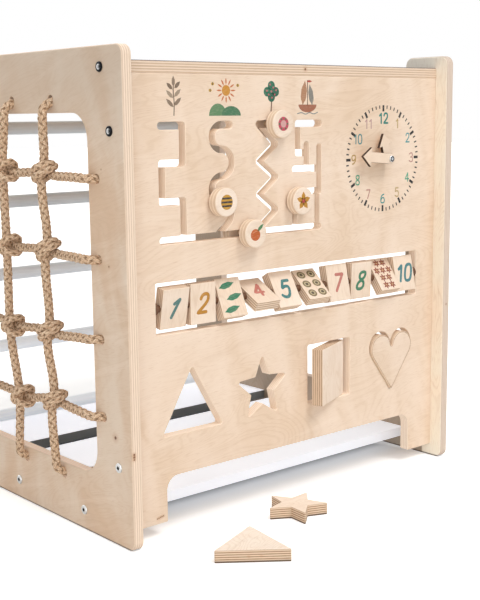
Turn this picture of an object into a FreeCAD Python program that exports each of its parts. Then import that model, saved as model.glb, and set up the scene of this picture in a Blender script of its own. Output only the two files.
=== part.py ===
import FreeCAD, Part
import math
import os

# Activity cube of birch plywood, in millimetres, +Z up.
# It is drawn from its left, front, bottom corner: X runs across, Y to the back.
# At the end it is moved so that the origin is the middle of its footprint.

Vec = FreeCAD.Vector
X_AXIS = Vec(1, 0, 0)
Y_AXIS = Vec(0, 1, 0)
Z_AXIS = Vec(0, 0, 1)

# Whole cube and its boards
CUBE_WIDTH = 738.0
SIDE_HEIGHT = 760.0
SIDE_DEPTH = 754.0
BOARD = 18.0
SIDE_CORNER = 15.0
SIDE_RIM = 2.5
BOARD_RIM = 1.2

# The layout below is drawn for a cube whose right face lies this far beyond the number
# window, and whose front panel's top lies at this height
WINDOW_MARGIN = 67.4
LAYOUT_TOP = 720.0

# Openings of the two side panels
OPENING_POST = 96.5
OPENING_SILL = 100.0
TOP_RAIL = 56.5
OPENING_CORNER = 42.0

# Ears of the right panel, above its lowered top rail
EAR_DEPTH = 100.0
EAR_FOOT = 5.0

# Front play panel
FRONT_SETBACK = 26.0
FRONT_FOOT = 23.0
FRONT_DROP = 40.0
ARCH_TOP = 95.5
LEG_WIDTH = 66.0
ARCH_CORNER = 22.0
LEG_CORNER = 3.0

# Top board with its dark writing film
FILM = 0.8
FILM_INSET = 1.3

# Floor slats
SLAT_BOTTOM = 24.7
FRONT_SLAT_INSET = 96.0
SLAT_GAP = 59.0
REAR_SLAT_DEPTH = 167.0
REAR_SLAT_INSET = 77.0

# Ladder at the back
RUNG_DIAMETER = 26.0
RUNG_COUNT = 5
RUNG_FIRST = 42.0
RUNG_PITCH = 148.6

# Rope net over the left opening
ROPE_DIAMETER = 14.0
ROPE_HOLE = 15.5
ROPE_COLUMN_EDGE = 196.0
ROPE_COLUMNS = 4
ROPE_ROW_FIRST = 199.5
ROPE_ROW_PITCH = 122.0
ROPE_ROWS = 4
ROPE_HOLE_EDGE = 73.0
ROPE_HOLE_TOP = 684.0
ROPE_HOLE_BOTTOM = 80.0
ROPE_INSIDE = 30.0
EXIT_OUT = 17.0
EXIT_RUN = 50.0
UPRIGHT_BELLY = 20.0
LEVEL_BELLY = 14.0
UPRIGHT_OUT = 18.0
LEVEL_OUT = 4.0
ARC_SHARE = 0.45

# How far each knot of the net has slipped from an even grid, in (y, z):
# rows from the lowest up, columns from the front
KNOT_SLIPS = [
    [(0.2, 6.8), (-16.9, -5.7), (4.0, 3.0), (-3.5, -2.0)],
    [(7.4, -2.7), (6.5, -9.0), (-3.0, 4.5), (5.0, -3.0)],
    [(3.8, 6.3), (4.8, 3.1), (2.5, -4.0), (-4.0, 3.5)],
    [(6.6, 7.2), (7.1, 3.6), (-4.0, 5.0), (3.0, 6.0)],
]
KNOT_RING = 16.0
KNOT_STRAND = 7.0
KNOT_SPLAY = 6.6
KNOT_CLIMB = 35.0
STOPPER_FIRST_RING = 9.5
STOPPER_SECOND_RING = 7.2
STOPPER_STRAND = 7.0
STOPPER_PITCH = 10.5
STOPPER_TAIL = 20.0

# Furniture bolts and their cross dowels
BOLT_DIAMETER = 6.0
BOLT_HOLE = 7.0
BOLT_HEAD_DIAMETER = 15.5
BOLT_HEAD_HEIGHT = 2.6
BOLT_HEAD_ROUND = 1.6
BOLT_REACH = 40.0
BOLT_END_PLAY = 2.0
HEX_SOCKET = 4.0
HEX_SOCKET_DEPTH = 1.8
DOWEL_DIAMETER = 10.0
DOWEL_LENGTH = 14.0
DOWEL_BACK = 8.0
TOP_BOLT_INSET = 56.0
FRONT_BOLT_HIGH = 636.0
FRONT_BOLT_LOW = 127.0
SLAT_BOLT_INSET = 41.0
SLAT_BOLT_MIDDLE_INSET = 107.0

# Maze slots in the front panel, as centre lines through (x, z)
SLOT_WIDTH = 12.0
SLOT_LEVEL = 469.0
MAZE_TOP = 642.5
STEP_PATH = [(86.0, MAZE_TOP), (126.5, MAZE_TOP), (126.5, 586.0), (86.5, 586.0),
             (86.5, 527.5), (126.5, 527.5), (126.5, SLOT_LEVEL)]
ZIGZAG_PATH = [(317.0, MAZE_TOP), (282.0, MAZE_TOP), (318.0, 610.0), (282.0, 583.0),
               (318.0, 556.5), (282.0, 529.5), (318.0, 503.0), (272.0, SLOT_LEVEL)]
GRID_PATHS = [
    [(419.0, MAZE_TOP), (368.5, MAZE_TOP), (368.5, 594.0), (388.5, 594.0)],
    [(388.5, 607.0), (388.5, 567.5)],
    [(361.5, 567.5), (418.0, 567.5)],
    [(418.0, 603.0), (418.0, 529.0), (387.0, 529.0)],
    [(413.5, 529.0), (413.5, SLOT_LEVEL)],
    [(361.5, 524.0), (361.5, SLOT_LEVEL)],
]
FLOOR_PATH = [(86.0, SLOT_LEVEL), (417.0, SLOT_LEVEL)]
WAVE_MIDDLE = 204.0
WAVE_START = 222.0
WAVE_RADII = [19.1, 20.8, 20.7, 18.5]
WAVE_LAST_TURN = 140.0

# Knobs that run in the slots
KNOB_DIAMETER = 46.0
KNOB_THICKNESS = 18.0
KNOB_ROUND = 3.0
KNOB_GAP = 3.0
AXLE_PLAY = 0.3
SPIN_PLAY = 0.1
AXLE_DEPTH = 12.0
AXLE_END_PLAY = 0.3
WAVE_KNOB_ANGLE = 247.0
GRID_KNOB_Z = 515.7
FLOOR_KNOB_X = 256.6

# Number blocks on their rod
NUMBER_SLOT = (69.4, 323.4, 670.6, 405.2)
NUMBER_SLOT_CORNER = 3.0
ROD_DIAMETER = 12.0
ROD_SOCKET = 15.0
ROD_EDGE_GAP = 4.0
COLLAR_DIAMETER = 19.0
COLLAR_LENGTH = 5.0
BLOCK_WIDTH = 51.0
BLOCK_HEIGHT = 65.0
BLOCK_THICKNESS = 18.0
BLOCK_ROUND = 1.2
BLOCK_PLACES = [106.0, 162.4, 220.8, 281.6, 339.9, 403.1, 465.7, 523.7, 585.8, 638.9]
BLOCK_TILTS = [-10.8, -0.3, 22.4, 61.4, 29.7, 46.8, 12.1, -2.6, 35.1, 11.6]

# Clock
CLOCK_X = 577.5
CLOCK_Z = 578.0
HAND_THICKNESS = 6.0
HAND_WIDTH = 18.0
HAND_ROUND = 0.8
HAND_GAP = 0.3
HOUR_HAND = 46.0
MINUTE_HAND = 72.0
HAND_HEAD_LENGTH = 21.0
HAND_HEAD_WIDTH = 34.0
HOUR_ANGLE = -16.0
MINUTE_ANGLE = -85.0
PIVOT_DIAMETER = 6.0
LONG_SPACER = 6.7
THIN_SPACER = 0.4
SPACER_DIAMETER = 14.0
PIVOT_HEAD_DIAMETER = 11.5
PIVOT_HEAD_HEIGHT = 2.6
PIVOT_HEAD_ROUND = 1.4
NUT_SIZE = 10.0
NUT_HEIGHT = 6.0
WASHER_DIAMETER = 18.0
WASHER_THICKNESS = 1.5
PIVOT_TAIL = 2.0

# Sorting holes and their pieces
SHAPE_THICKNESS = 20.0
SHAPE_PLAY = 1.5
SQUARE_PLAY = 2.5
HEART_PLAY = 2.4
SHAPE_RIM = 1.2
SHAPE_REST = 0.1
SHAPE_TIP = 3.2
SQUARE_TIP = 4.0
TRIANGLE_SIDE = 122.5
TRIANGLE_X = 138.0
TRIANGLE_BASE = 161.3
STAR_OUTER = 58.4
STAR_INNER = 26.0
STAR_X = 286.0
STAR_Z = 206.0
SQUARE_SIDE = 104.5
SQUARE_X = 443.0
SQUARE_BASE = 160.2
HEART_X = 602.0
HEART_TIP = 151.2
HEART_LOBE_Z = 235.4
HEART_LOBE_X = 27.8
HEART_LOBE_RADIUS = 28.3
HEART_PROUD = 3.4
HEART_REST_GAP = 0.4
SQUARE_TURN = 23.7
SQUARE_PLACE = (438.0, 24.4)
LOOSE_TRIANGLE = (131.6, -120.4)
LOOSE_TRIANGLE_TURN = -38.2
LOOSE_STAR = (301.5, -38.0)
LOOSE_STAR_TURN = 9.1

# Places that follow from the sizes above
INNER_LEFT = BOARD
INNER_RIGHT = CUBE_WIDTH - BOARD
FRONT_TOP = SIDE_HEIGHT - FRONT_DROP
SPREAD = CUBE_WIDTH / (NUMBER_SLOT[2] + WINDOW_MARGIN)
RISE = FRONT_TOP / LAYOUT_TOP
OPENING_HEAD = FRONT_TOP - TOP_RAIL
REAR_SLAT_END = SIDE_DEPTH - REAR_SLAT_INSET
REAR_SLAT_START = REAR_SLAT_END - REAR_SLAT_DEPTH
FRONT_SLAT_END = REAR_SLAT_START - SLAT_GAP
FRONT_FACE = FRONT_SETBACK
FRONT_BACK = FRONT_SETBACK + BOARD
FRONT_MIDDLE = FRONT_SETBACK + BOARD / 2
REAR_FACE = SIDE_DEPTH - FRONT_SETBACK
REAR_MIDDLE = SIDE_DEPTH - FRONT_MIDDLE
TOP_FACE = FRONT_TOP + BOARD
TOP_MIDDLE = FRONT_TOP + BOARD / 2
SLAT_MIDDLE = SLAT_BOTTOM + BOARD / 2
WINDOW_LEFT = NUMBER_SLOT[0] * SPREAD
WINDOW_RIGHT = NUMBER_SLOT[2] * SPREAD
WINDOW_BOTTOM = NUMBER_SLOT[1] * RISE
WINDOW_TOP = NUMBER_SLOT[3] * RISE
ROD_Z = (WINDOW_BOTTOM + WINDOW_TOP) / 2
CLOCK_PLACE = (CLOCK_X * SPREAD, CLOCK_Z * RISE)
AXLE_DIAMETER = SLOT_WIDTH - 2 * AXLE_PLAY
MARGIN = 5.0
NEAR = 0.01


def on_side(x):
    """Turns (y, z) into a point of the upright plane at that x."""
    return lambda y, z: Vec(x, y, z)


def on_front(y):
    """Turns (x, z) into a point of the upright plane at that y."""
    return lambda x, z: Vec(x, y, z)


def on_floor(z):
    """Turns (x, y) into a point of the level plane at that z."""
    return lambda x, y: Vec(x, y, z)


def at(x, z):
    """Where the layout's point (x, z) lies on this cube's front panel."""
    return x * SPREAD, z * RISE


def unit(vector):
    """The vector at a length of one."""
    return vector / vector.Length


def rounded_corner(before, corner, after, radius):
    """Start, middle and end of the arc that rounds a corner."""
    to_before = unit(before - corner)
    to_after = unit(after - corner)
    half = to_before.getAngle(to_after) / 2
    cut = radius / math.tan(half)
    inward = unit(to_before + to_after)
    middle = corner + inward * (radius / math.sin(half) - radius)
    return corner + to_before * cut, middle, corner + to_after * cut


def outline(points, radii, place):
    """A closed wire through corner points, each rounded by its own radius."""
    corners = [place(a, b) for a, b in points]
    turns = []
    for i, corner in enumerate(corners):
        before = corners[i - 1]
        after = corners[(i + 1) % len(corners)]
        turns.append(rounded_corner(before, corner, after, radii[i]))
    edges = []
    for i, (start, middle, end) in enumerate(turns):
        following = turns[(i + 1) % len(turns)][0]
        edges.append(Part.Arc(start, middle, end).toShape())
        edges.append(Part.LineSegment(end, following).toShape())
    return Part.Wire(edges)


def rectangle(a0, b0, a1, b1):
    """Corner points of a rectangle between two opposite corners."""
    return [(a0, b0), (a1, b0), (a1, b1), (a0, b1)]


def slab(wire, sweep):
    """The solid that a closed flat wire sweeps along a vector."""
    return Part.Face(wire).extrude(sweep)


def edges_at(solid, axis, levels):
    """The edges of a solid that lie wholly at one of those levels of an axis."""
    found = []
    for edge in solid.Edges:
        box = edge.BoundBox
        low = (box.XMin, box.YMin, box.ZMin)[axis]
        high = (box.XMax, box.YMax, box.ZMax)[axis]
        if any(abs(low - level) < NEAR and abs(high - level) < NEAR for level in levels):
            found.append(edge)
    return found


def with_round_rims(solid, axis, levels, radius):
    """The solid with the rims of its faces at those levels rounded."""
    return solid.makeFillet(radius, edges_at(solid, axis, levels))


def box(x0, y0, z0, x1, y1, z1):
    """A box between two opposite corners."""
    return Part.makeBox(x1 - x0, y1 - y0, z1 - z0, Vec(x0, y0, z0))


def bar_x(diameter, x0, x1, y, z):
    """A round bar along X."""
    return Part.makeCylinder(diameter / 2, x1 - x0, Vec(x0, y, z), X_AXIS)


def bar_y(diameter, y0, y1, x, z):
    """A round bar along Y."""
    return Part.makeCylinder(diameter / 2, y1 - y0, Vec(x, y0, z), Y_AXIS)


def bar_z(diameter, z0, z1, x, y):
    """A round bar along Z."""
    return Part.makeCylinder(diameter / 2, z1 - z0, Vec(x, y, z0), Z_AXIS)


def hexagon(across, a, b, place):
    """The closed wire of a hexagon of that width across its flats."""
    radius = across / math.sqrt(3)
    corners = []
    for k in range(7):
        angle = math.radians(60 * k)
        corners.append(place(a + radius * math.cos(angle), b + radius * math.sin(angle)))
    return Part.makePolygon(corners)


# Rope holes, bolts and rungs: where they are

def rope_columns():
    """The y of the upright ropes' holes, symmetric about the panel's middle."""
    pitch = (SIDE_DEPTH - 2 * ROPE_COLUMN_EDGE) / (ROPE_COLUMNS - 1)
    return [ROPE_COLUMN_EDGE + pitch * i for i in range(ROPE_COLUMNS)]


def rope_rows():
    """The z of the level ropes' holes."""
    return [(ROPE_ROW_FIRST + ROPE_ROW_PITCH * i) * RISE for i in range(ROPE_ROWS)]


def rope_holes():
    """The (y, z) of every hole that takes a rope's end."""
    holes = []
    for y in rope_columns():
        holes += [(y, ROPE_HOLE_TOP * RISE), (y, ROPE_HOLE_BOTTOM)]
    for z in rope_rows():
        holes += [(ROPE_HOLE_EDGE, z), (SIDE_DEPTH - ROPE_HOLE_EDGE, z)]
    return holes


def crossings():
    """The (y, z) of every knot of the net, by row and column."""
    table = []
    for z, slips in zip(rope_rows(), KNOT_SLIPS):
        table.append([(y + dy, z + dz) for y, (dy, dz) in zip(rope_columns(), slips)])
    return table


def rung_levels():
    """The z of each rung."""
    return [(RUNG_FIRST + RUNG_PITCH * i) * RISE for i in range(RUNG_COUNT)]


def slat_bolt_places():
    """The y of the bolts into the ends of the two slats."""
    front = [FRONT_SLAT_INSET + SLAT_BOLT_INSET, FRONT_SLAT_END - SLAT_BOLT_MIDDLE_INSET]
    rear = [REAR_SLAT_START + SLAT_BOLT_INSET, REAR_SLAT_END - SLAT_BOLT_INSET]
    return front + rear


def black_bolt_places():
    """The (y, z) of the black bolts on each side panel."""
    rear = SIDE_DEPTH - TOP_BOLT_INSET
    high = FRONT_BOLT_HIGH * RISE
    return [(TOP_BOLT_INSET, TOP_MIDDLE), (rear, TOP_MIDDLE), (FRONT_MIDDLE, high)]


def silver_bolt_places():
    """The (y, z) of the silver bolts on each side panel."""
    return [(FRONT_MIDDLE, FRONT_BOLT_LOW)] + [(y, SLAT_MIDDLE) for y in slat_bolt_places()]


def rung_screw_places():
    """The (y, z) of the screws into the rungs on each side panel."""
    return [(REAR_MIDDLE, z) for z in rung_levels()]


def shank_bores(y, z):
    """The cutters of a bolt's bores in a board, at its left and its right end."""
    reach = BOLT_REACH + BOLT_END_PLAY
    left = bar_x(BOLT_HOLE, INNER_LEFT - MARGIN, INNER_LEFT + reach, y, z)
    right = bar_x(BOLT_HOLE, INNER_RIGHT - reach, INNER_RIGHT + MARGIN, y, z)
    return [left, right]


def dowel_lines():
    """The x of the cross dowels at the left and at the right end of a board."""
    inset = BOLT_REACH - DOWEL_BACK
    return [INNER_LEFT + inset, INNER_RIGHT - inset]


# Side panels

def side_opening(x):
    """The cutter of a side panel's large opening."""
    corners = rectangle(OPENING_POST, OPENING_SILL, SIDE_DEPTH - OPENING_POST, OPENING_HEAD)
    wire = outline(corners, [OPENING_CORNER] * 4, on_side(x - MARGIN))
    return slab(wire, X_AXIS * (BOARD + 2 * MARGIN))


def bolt_bores(x):
    """The cutters of all bolt holes of the side panel that starts at x."""
    places = black_bolt_places() + silver_bolt_places() + rung_screw_places()
    return [bar_x(BOLT_HOLE, x - MARGIN, x + BOARD + MARGIN, y, z) for y, z in places]


def make_left_side():
    """The full panel that carries the rope net."""
    corners = rectangle(0, 0, SIDE_DEPTH, SIDE_HEIGHT)
    panel = slab(outline(corners, [SIDE_CORNER] * 4, on_side(0)), X_AXIS * BOARD)
    panel = panel.cut(side_opening(0))
    panel = with_round_rims(panel, 0, [0, BOARD], SIDE_RIM)
    holes = [bar_x(ROPE_HOLE, -MARGIN, BOARD + MARGIN, y, z) for y, z in rope_holes()]
    return panel.cut(holes + bolt_bores(0))


def make_right_side():
    """The panel with two ears, whose top rail is level with the top board."""
    x = INNER_RIGHT
    back_ear = SIDE_DEPTH - EAR_DEPTH
    corners = [(0, 0), (SIDE_DEPTH, 0), (SIDE_DEPTH, SIDE_HEIGHT), (back_ear, SIDE_HEIGHT),
               (back_ear, TOP_FACE), (EAR_DEPTH, TOP_FACE), (EAR_DEPTH, SIDE_HEIGHT),
               (0, SIDE_HEIGHT)]
    radii = [SIDE_CORNER] * 4 + [EAR_FOOT] * 2 + [SIDE_CORNER] * 2
    panel = slab(outline(corners, radii, on_side(x)), X_AXIS * BOARD)
    panel = panel.cut(side_opening(x))
    panel = with_round_rims(panel, 0, [x, x + BOARD], SIDE_RIM)
    return panel.cut(bolt_bores(x))


# Maze slots

def straight_slot(start, end, y):
    """The outline of a slot with round ends along one straight stroke."""
    place = on_front(y)
    a = place(*start)
    b = place(*end)
    along = unit(b - a)
    half = SLOT_WIDTH / 2
    side = along.cross(Y_AXIS) * half
    edges = [Part.LineSegment(a + side, b + side).toShape(),
             Part.Arc(b + side, b + along * half, b - side).toShape(),
             Part.LineSegment(b - side, a - side).toShape(),
             Part.Arc(a - side, a - along * half, a + side).toShape()]
    return Part.Wire(edges)


def wave_radii():
    """The radius of each half turn of the wave."""
    return [radius * RISE for radius in WAVE_RADII]


def wave_outline(y):
    """The outline of the wave: a lead-in, half turns and a tail to the floor slot."""
    place = on_front(y)
    line_x, level = at(WAVE_MIDDLE, MAZE_TOP)
    start_x, floor = at(WAVE_START, SLOT_LEVEL)
    side = -1
    strokes = [Part.LineSegment(place(start_x, level), place(line_x, level))]
    for radius in wave_radii()[:-1]:
        start = place(line_x, level)
        middle = place(line_x + side * radius, level - radius)
        end = place(line_x, level - 2 * radius)
        strokes.append(Part.Arc(start, middle, end))
        level -= 2 * radius
        side = -side
    radius = wave_radii()[-1]
    centre = level - radius
    half = math.radians(90 - WAVE_LAST_TURN / 2)
    last = math.radians(90 - WAVE_LAST_TURN)
    middle = place(line_x + radius * math.cos(half), centre + radius * math.sin(half))
    end_x = line_x + radius * math.cos(last)
    end_z = centre + radius * math.sin(last)
    strokes.append(Part.Arc(place(line_x, level), middle, place(end_x, end_z)))
    run = (end_z - floor) / math.cos(last)
    foot = place(end_x + run * math.sin(last), floor)
    strokes.append(Part.LineSegment(place(end_x, end_z), foot))
    line = Part.Wire([stroke.toShape() for stroke in strokes])
    return line.makeOffset2D(SLOT_WIDTH / 2)


def maze_cutter():
    """All slots of the maze as one solid."""
    y = FRONT_FACE - MARGIN
    sweep = Y_AXIS * (BOARD + 2 * MARGIN)
    slots = [slab(wave_outline(y), sweep)]
    for path in [STEP_PATH, ZIGZAG_PATH, FLOOR_PATH] + GRID_PATHS:
        for start, end in zip(path, path[1:]):
            slots.append(slab(straight_slot(at(*start), at(*end), y), sweep))
    return slots[0].fuse(slots[1:]).removeSplitter()


# Sorting shapes, round their own centres

def shrunk(wire, play):
    """The wire moved inwards by the play."""
    return wire.makeOffset2D(-play) if play > 0 else wire


def triangle_wire(play, place):
    """The rounded triangle, smaller all round by the play."""
    radius = TRIANGLE_SIDE / math.sqrt(3)
    corners = []
    for k in range(3):
        angle = math.radians(90 + 120 * k)
        corners.append((radius * math.cos(angle), radius * math.sin(angle)))
    return shrunk(outline(corners, [SHAPE_TIP] * 3, place), play)


def star_wire(play, place):
    """The rounded five-pointed star, smaller all round by the play."""
    corners = []
    for k in range(10):
        radius = STAR_INNER if k % 2 else STAR_OUTER
        angle = math.radians(90 + 36 * k)
        corners.append((radius * math.cos(angle), radius * math.sin(angle)))
    return shrunk(outline(corners, [SHAPE_TIP, SHAPE_RIM] * 5, place), play)


def square_wire(play, place):
    """The rounded square, smaller all round by the play."""
    half = SQUARE_SIDE / 2
    corners = rectangle(-half, -half, half, half)
    return shrunk(outline(corners, [SQUARE_TIP] * 4, place), play)


def heart_slope():
    """How steeply the heart's straight sides climb from its tip."""
    rise = HEART_LOBE_Z - HEART_TIP
    reach = math.hypot(HEART_LOBE_X, rise)
    return math.atan2(rise, HEART_LOBE_X) - math.asin(HEART_LOBE_RADIUS / reach)


def heart_wire(play, place, tip=SHAPE_TIP):
    """The heart, drawn up from its tip, smaller all round by the play."""
    rise = HEART_LOBE_Z - HEART_TIP
    slope = heart_slope()
    low = slope - math.pi / 2
    notch = math.sqrt(HEART_LOBE_RADIUS ** 2 - HEART_LOBE_X ** 2)
    high = math.atan2(notch, -HEART_LOBE_X)
    middle = (low + high) / 2

    def lobe(angle, side):
        a = side * (HEART_LOBE_X + HEART_LOBE_RADIUS * math.cos(angle))
        return place(a, rise + HEART_LOBE_RADIUS * math.sin(angle))

    ends = [lobe(low, -1), lobe(low, 1)]
    start, bottom, end = rounded_corner(ends[0], place(0, 0), ends[1], tip)
    edges = [Part.Arc(start, bottom, end).toShape(),
             Part.LineSegment(end, ends[1]).toShape(),
             Part.Arc(ends[1], lobe(middle, 1), lobe(high, 1)).toShape(),
             Part.Arc(lobe(high, -1), lobe(middle, -1), ends[0]).toShape(),
             Part.LineSegment(ends[0], start).toShape()]
    return shrunk(Part.Wire(edges), play)


def shape_cutters():
    """The cutters of the four sorting holes."""
    place = on_front(FRONT_FACE - MARGIN)
    triangle_rise = TRIANGLE_SIDE / (2 * math.sqrt(3))
    holes = [(triangle_wire(0, place), at(TRIANGLE_X, TRIANGLE_BASE), triangle_rise),
             (star_wire(0, place), at(STAR_X, STAR_Z), 0),
             (square_wire(0, place), at(SQUARE_X, SQUARE_BASE), SQUARE_SIDE / 2),
             (heart_wire(0, place), at(HEART_X, HEART_TIP), 0)]
    cutters = []
    for wire, (x, z), rise in holes:
        cutter = slab(wire, Y_AXIS * (BOARD + 2 * MARGIN))
        cutter.translate(Vec(x, 0, z + rise))
        cutters.append(cutter)
    return cutters


def make_heart():
    """The heart, sunk between its hole's two sides and a little proud of the panel."""
    y = FRONT_FACE - HEART_PROUD
    wire = heart_wire(HEART_PLAY, on_front(y), SHAPE_TIP + HEART_PLAY)
    piece = slab(wire, Y_AXIS * SHAPE_THICKNESS)
    piece = with_round_rims(piece, 1, [y, y + SHAPE_THICKNESS], SHAPE_RIM)
    x, z = at(HEART_X, HEART_TIP)
    drop = (HEART_PLAY - HEART_REST_GAP) / math.cos(heart_slope())
    piece.translate(Vec(x, 0, z - drop))
    return piece


def make_square():
    """The square, standing askew on the sill of its hole."""
    half_thick = SHAPE_THICKNESS / 2
    piece = slab(square_wire(SQUARE_PLAY, on_front(-half_thick)), Y_AXIS * SHAPE_THICKNESS)
    piece = with_round_rims(piece, 1, [-half_thick, half_thick], SHAPE_RIM)
    piece.rotate(Vec(0, 0, 0), Z_AXIS, SQUARE_TURN)
    half = SQUARE_SIDE / 2 - SQUARE_PLAY
    x, sill = at(SQUARE_PLACE[0], SQUARE_BASE)
    piece.translate(Vec(x, SQUARE_PLACE[1], sill + SHAPE_REST + half))
    return piece


def make_loose(wire, place, turn):
    """A piece that lies flat on the floor in front of the cube."""
    piece = slab(wire, Z_AXIS * SHAPE_THICKNESS)
    piece = with_round_rims(piece, 2, [0, SHAPE_THICKNESS], SHAPE_RIM)
    piece.rotate(Vec(0, 0, 0), Z_AXIS, turn)
    piece.translate(Vec(place[0], place[1], 0))
    return piece


# Front panel

def front_outline():
    """The panel's outline: two legs and an arch between them."""
    left = INNER_LEFT + LEG_WIDTH
    right = INNER_RIGHT - LEG_WIDTH
    corners = [(INNER_LEFT, FRONT_FOOT), (left, FRONT_FOOT), (left, ARCH_TOP),
               (right, ARCH_TOP), (right, FRONT_FOOT), (INNER_RIGHT, FRONT_FOOT),
               (INNER_RIGHT, FRONT_TOP), (INNER_LEFT, FRONT_TOP)]
    radii = [LEG_CORNER] * 2 + [ARCH_CORNER] * 2 + [LEG_CORNER] * 2 + [BOARD_RIM] * 2
    return outline(corners, radii, on_front(FRONT_FACE))


def number_slot_cutter():
    """The cutter of the long window that the number blocks turn in."""
    corners = rectangle(WINDOW_LEFT, WINDOW_BOTTOM, WINDOW_RIGHT, WINDOW_TOP)
    wire = outline(corners, [NUMBER_SLOT_CORNER] * 4, on_front(FRONT_FACE - MARGIN))
    return slab(wire, Y_AXIS * (BOARD + 2 * MARGIN))


def make_front():
    """The play panel with maze, number window, clock and sorting holes."""
    panel = slab(front_outline(), Y_AXIS * BOARD)
    panel = panel.cut([maze_cutter(), number_slot_cutter()] + shape_cutters())
    panel = with_round_rims(panel, 1, [FRONT_FACE], BOARD_RIM)
    bores = [bar_x(ROD_DIAMETER, INNER_LEFT - MARGIN, WINDOW_LEFT + MARGIN,
                   FRONT_MIDDLE, ROD_Z),
             bar_x(ROD_DIAMETER, WINDOW_RIGHT - MARGIN, WINDOW_RIGHT + ROD_SOCKET,
                   FRONT_MIDDLE, ROD_Z),
             bar_y(PIVOT_DIAMETER, FRONT_FACE - MARGIN, FRONT_BACK + MARGIN, *CLOCK_PLACE)]
    for z in (FRONT_BOLT_HIGH * RISE, FRONT_BOLT_LOW):
        bores += shank_bores(FRONT_MIDDLE, z)
        bores += [bar_y(DOWEL_DIAMETER, FRONT_BACK - DOWEL_LENGTH, FRONT_BACK + MARGIN, x, z)
                  for x in dowel_lines()]
    return panel.cut(bores)


# Top board and floor slats

def level_board(y0, y1, bottom, bolt_ys):
    """A board between the side panels, with bolts into both ends."""
    board = box(INNER_LEFT, y0, bottom, INNER_RIGHT, y1, bottom + BOARD)
    long_edges = [edge for edge in board.Edges if edge.BoundBox.XLength > CUBE_WIDTH / 2]
    board = board.makeFillet(BOARD_RIM, long_edges)
    bores = []
    for y in bolt_ys:
        bores += shank_bores(y, bottom + BOARD / 2)
        bores += [bar_z(DOWEL_DIAMETER, bottom - MARGIN, bottom + DOWEL_LENGTH, x, y)
                  for x in dowel_lines()]
    return board.cut(bores)


def make_top_film():
    """The thin dark sheet on the top board."""
    return box(INNER_LEFT, FRONT_FACE + FILM_INSET, TOP_FACE,
               INNER_RIGHT, REAR_FACE - FILM_INSET, TOP_FACE + FILM)


# Ladder

def make_rung(z):
    """One round rung between the side panels, drilled for its screws."""
    rung = bar_x(RUNG_DIAMETER, INNER_LEFT, INNER_RIGHT, REAR_MIDDLE, z)
    left = bar_x(BOLT_DIAMETER, INNER_LEFT - MARGIN, INNER_LEFT + BOLT_REACH, REAR_MIDDLE, z)
    right = bar_x(BOLT_DIAMETER, INNER_RIGHT - BOLT_REACH, INNER_RIGHT + MARGIN,
                  REAR_MIDDLE, z)
    return rung.cut([left, right])


# Bolts and cross dowels

def bolt(y, z):
    """A bolt from the left side panel's outer face."""
    head = bar_x(BOLT_HEAD_DIAMETER, -BOLT_HEAD_HEIGHT, 0, y, z)
    head = with_round_rims(head, 0, [-BOLT_HEAD_HEIGHT], BOLT_HEAD_ROUND)
    recess = slab(hexagon(HEX_SOCKET, y, z, on_side(-BOLT_HEAD_HEIGHT)),
                  X_AXIS * HEX_SOCKET_DEPTH)
    shank = bar_x(BOLT_DIAMETER, -NEAR, INNER_LEFT + BOLT_REACH, y, z)
    return head.cut(recess).fuse(shank).removeSplitter()


def mirrored(solid):
    """The solid at the other side panel."""
    return solid.mirror(Vec(CUBE_WIDTH / 2, 0, 0), X_AXIS)


def bolts_on_both_sides(places):
    """Bolts at those (y, z) through both side panels."""
    left = [bolt(y, z) for y, z in places]
    return Part.makeCompound(left + [mirrored(one) for one in left])


def make_barrel_nuts():
    """The cross dowels that the bolts are screwed into."""
    nuts = []
    for x in dowel_lines():
        for z in (FRONT_BOLT_HIGH * RISE, FRONT_BOLT_LOW):
            nut = bar_y(DOWEL_DIAMETER, FRONT_BACK - DOWEL_LENGTH, FRONT_BACK, x, z)
            nuts.append((nut, x, FRONT_MIDDLE, z))
        for y, z in black_bolt_places()[:2]:
            nut = bar_z(DOWEL_DIAMETER, FRONT_TOP, FRONT_TOP + DOWEL_LENGTH, x, y)
            nuts.append((nut, x, y, z))
        for y in slat_bolt_places():
            nut = bar_z(DOWEL_DIAMETER, SLAT_BOTTOM, SLAT_BOTTOM + DOWEL_LENGTH, x, y)
            nuts.append((nut, x, y, SLAT_MIDDLE))
    threaded = [nut.cut(bar_x(BOLT_DIAMETER, x - DOWEL_LENGTH, x + DOWEL_LENGTH, y, z))
                for nut, x, y, z in nuts]
    return Part.makeCompound(threaded)


# Knobs

def make_knob(x, z):
    """The front disc, the axle and the rear disc of the knob at (x, z)."""
    front = FRONT_FACE - KNOB_GAP
    rear = FRONT_BACK + KNOB_GAP
    disc = bar_y(KNOB_DIAMETER, front - KNOB_THICKNESS, front, x, z)
    disc = with_round_rims(disc, 1, [front - KNOB_THICKNESS, front], KNOB_ROUND)
    disc = disc.cut(bar_y(AXLE_DIAMETER + 2 * SPIN_PLAY, front - AXLE_DEPTH - AXLE_END_PLAY,
                          front + MARGIN, x, z))
    axle = bar_y(AXLE_DIAMETER, front - AXLE_DEPTH, rear + AXLE_DEPTH, x, z)
    back = bar_y(KNOB_DIAMETER, rear, rear + KNOB_THICKNESS, x, z)
    back = with_round_rims(back, 1, [rear, rear + KNOB_THICKNESS], KNOB_ROUND)
    back = back.cut(bar_y(AXLE_DIAMETER, rear - MARGIN, rear + AXLE_DEPTH, x, z))
    return disc, axle, back


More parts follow.
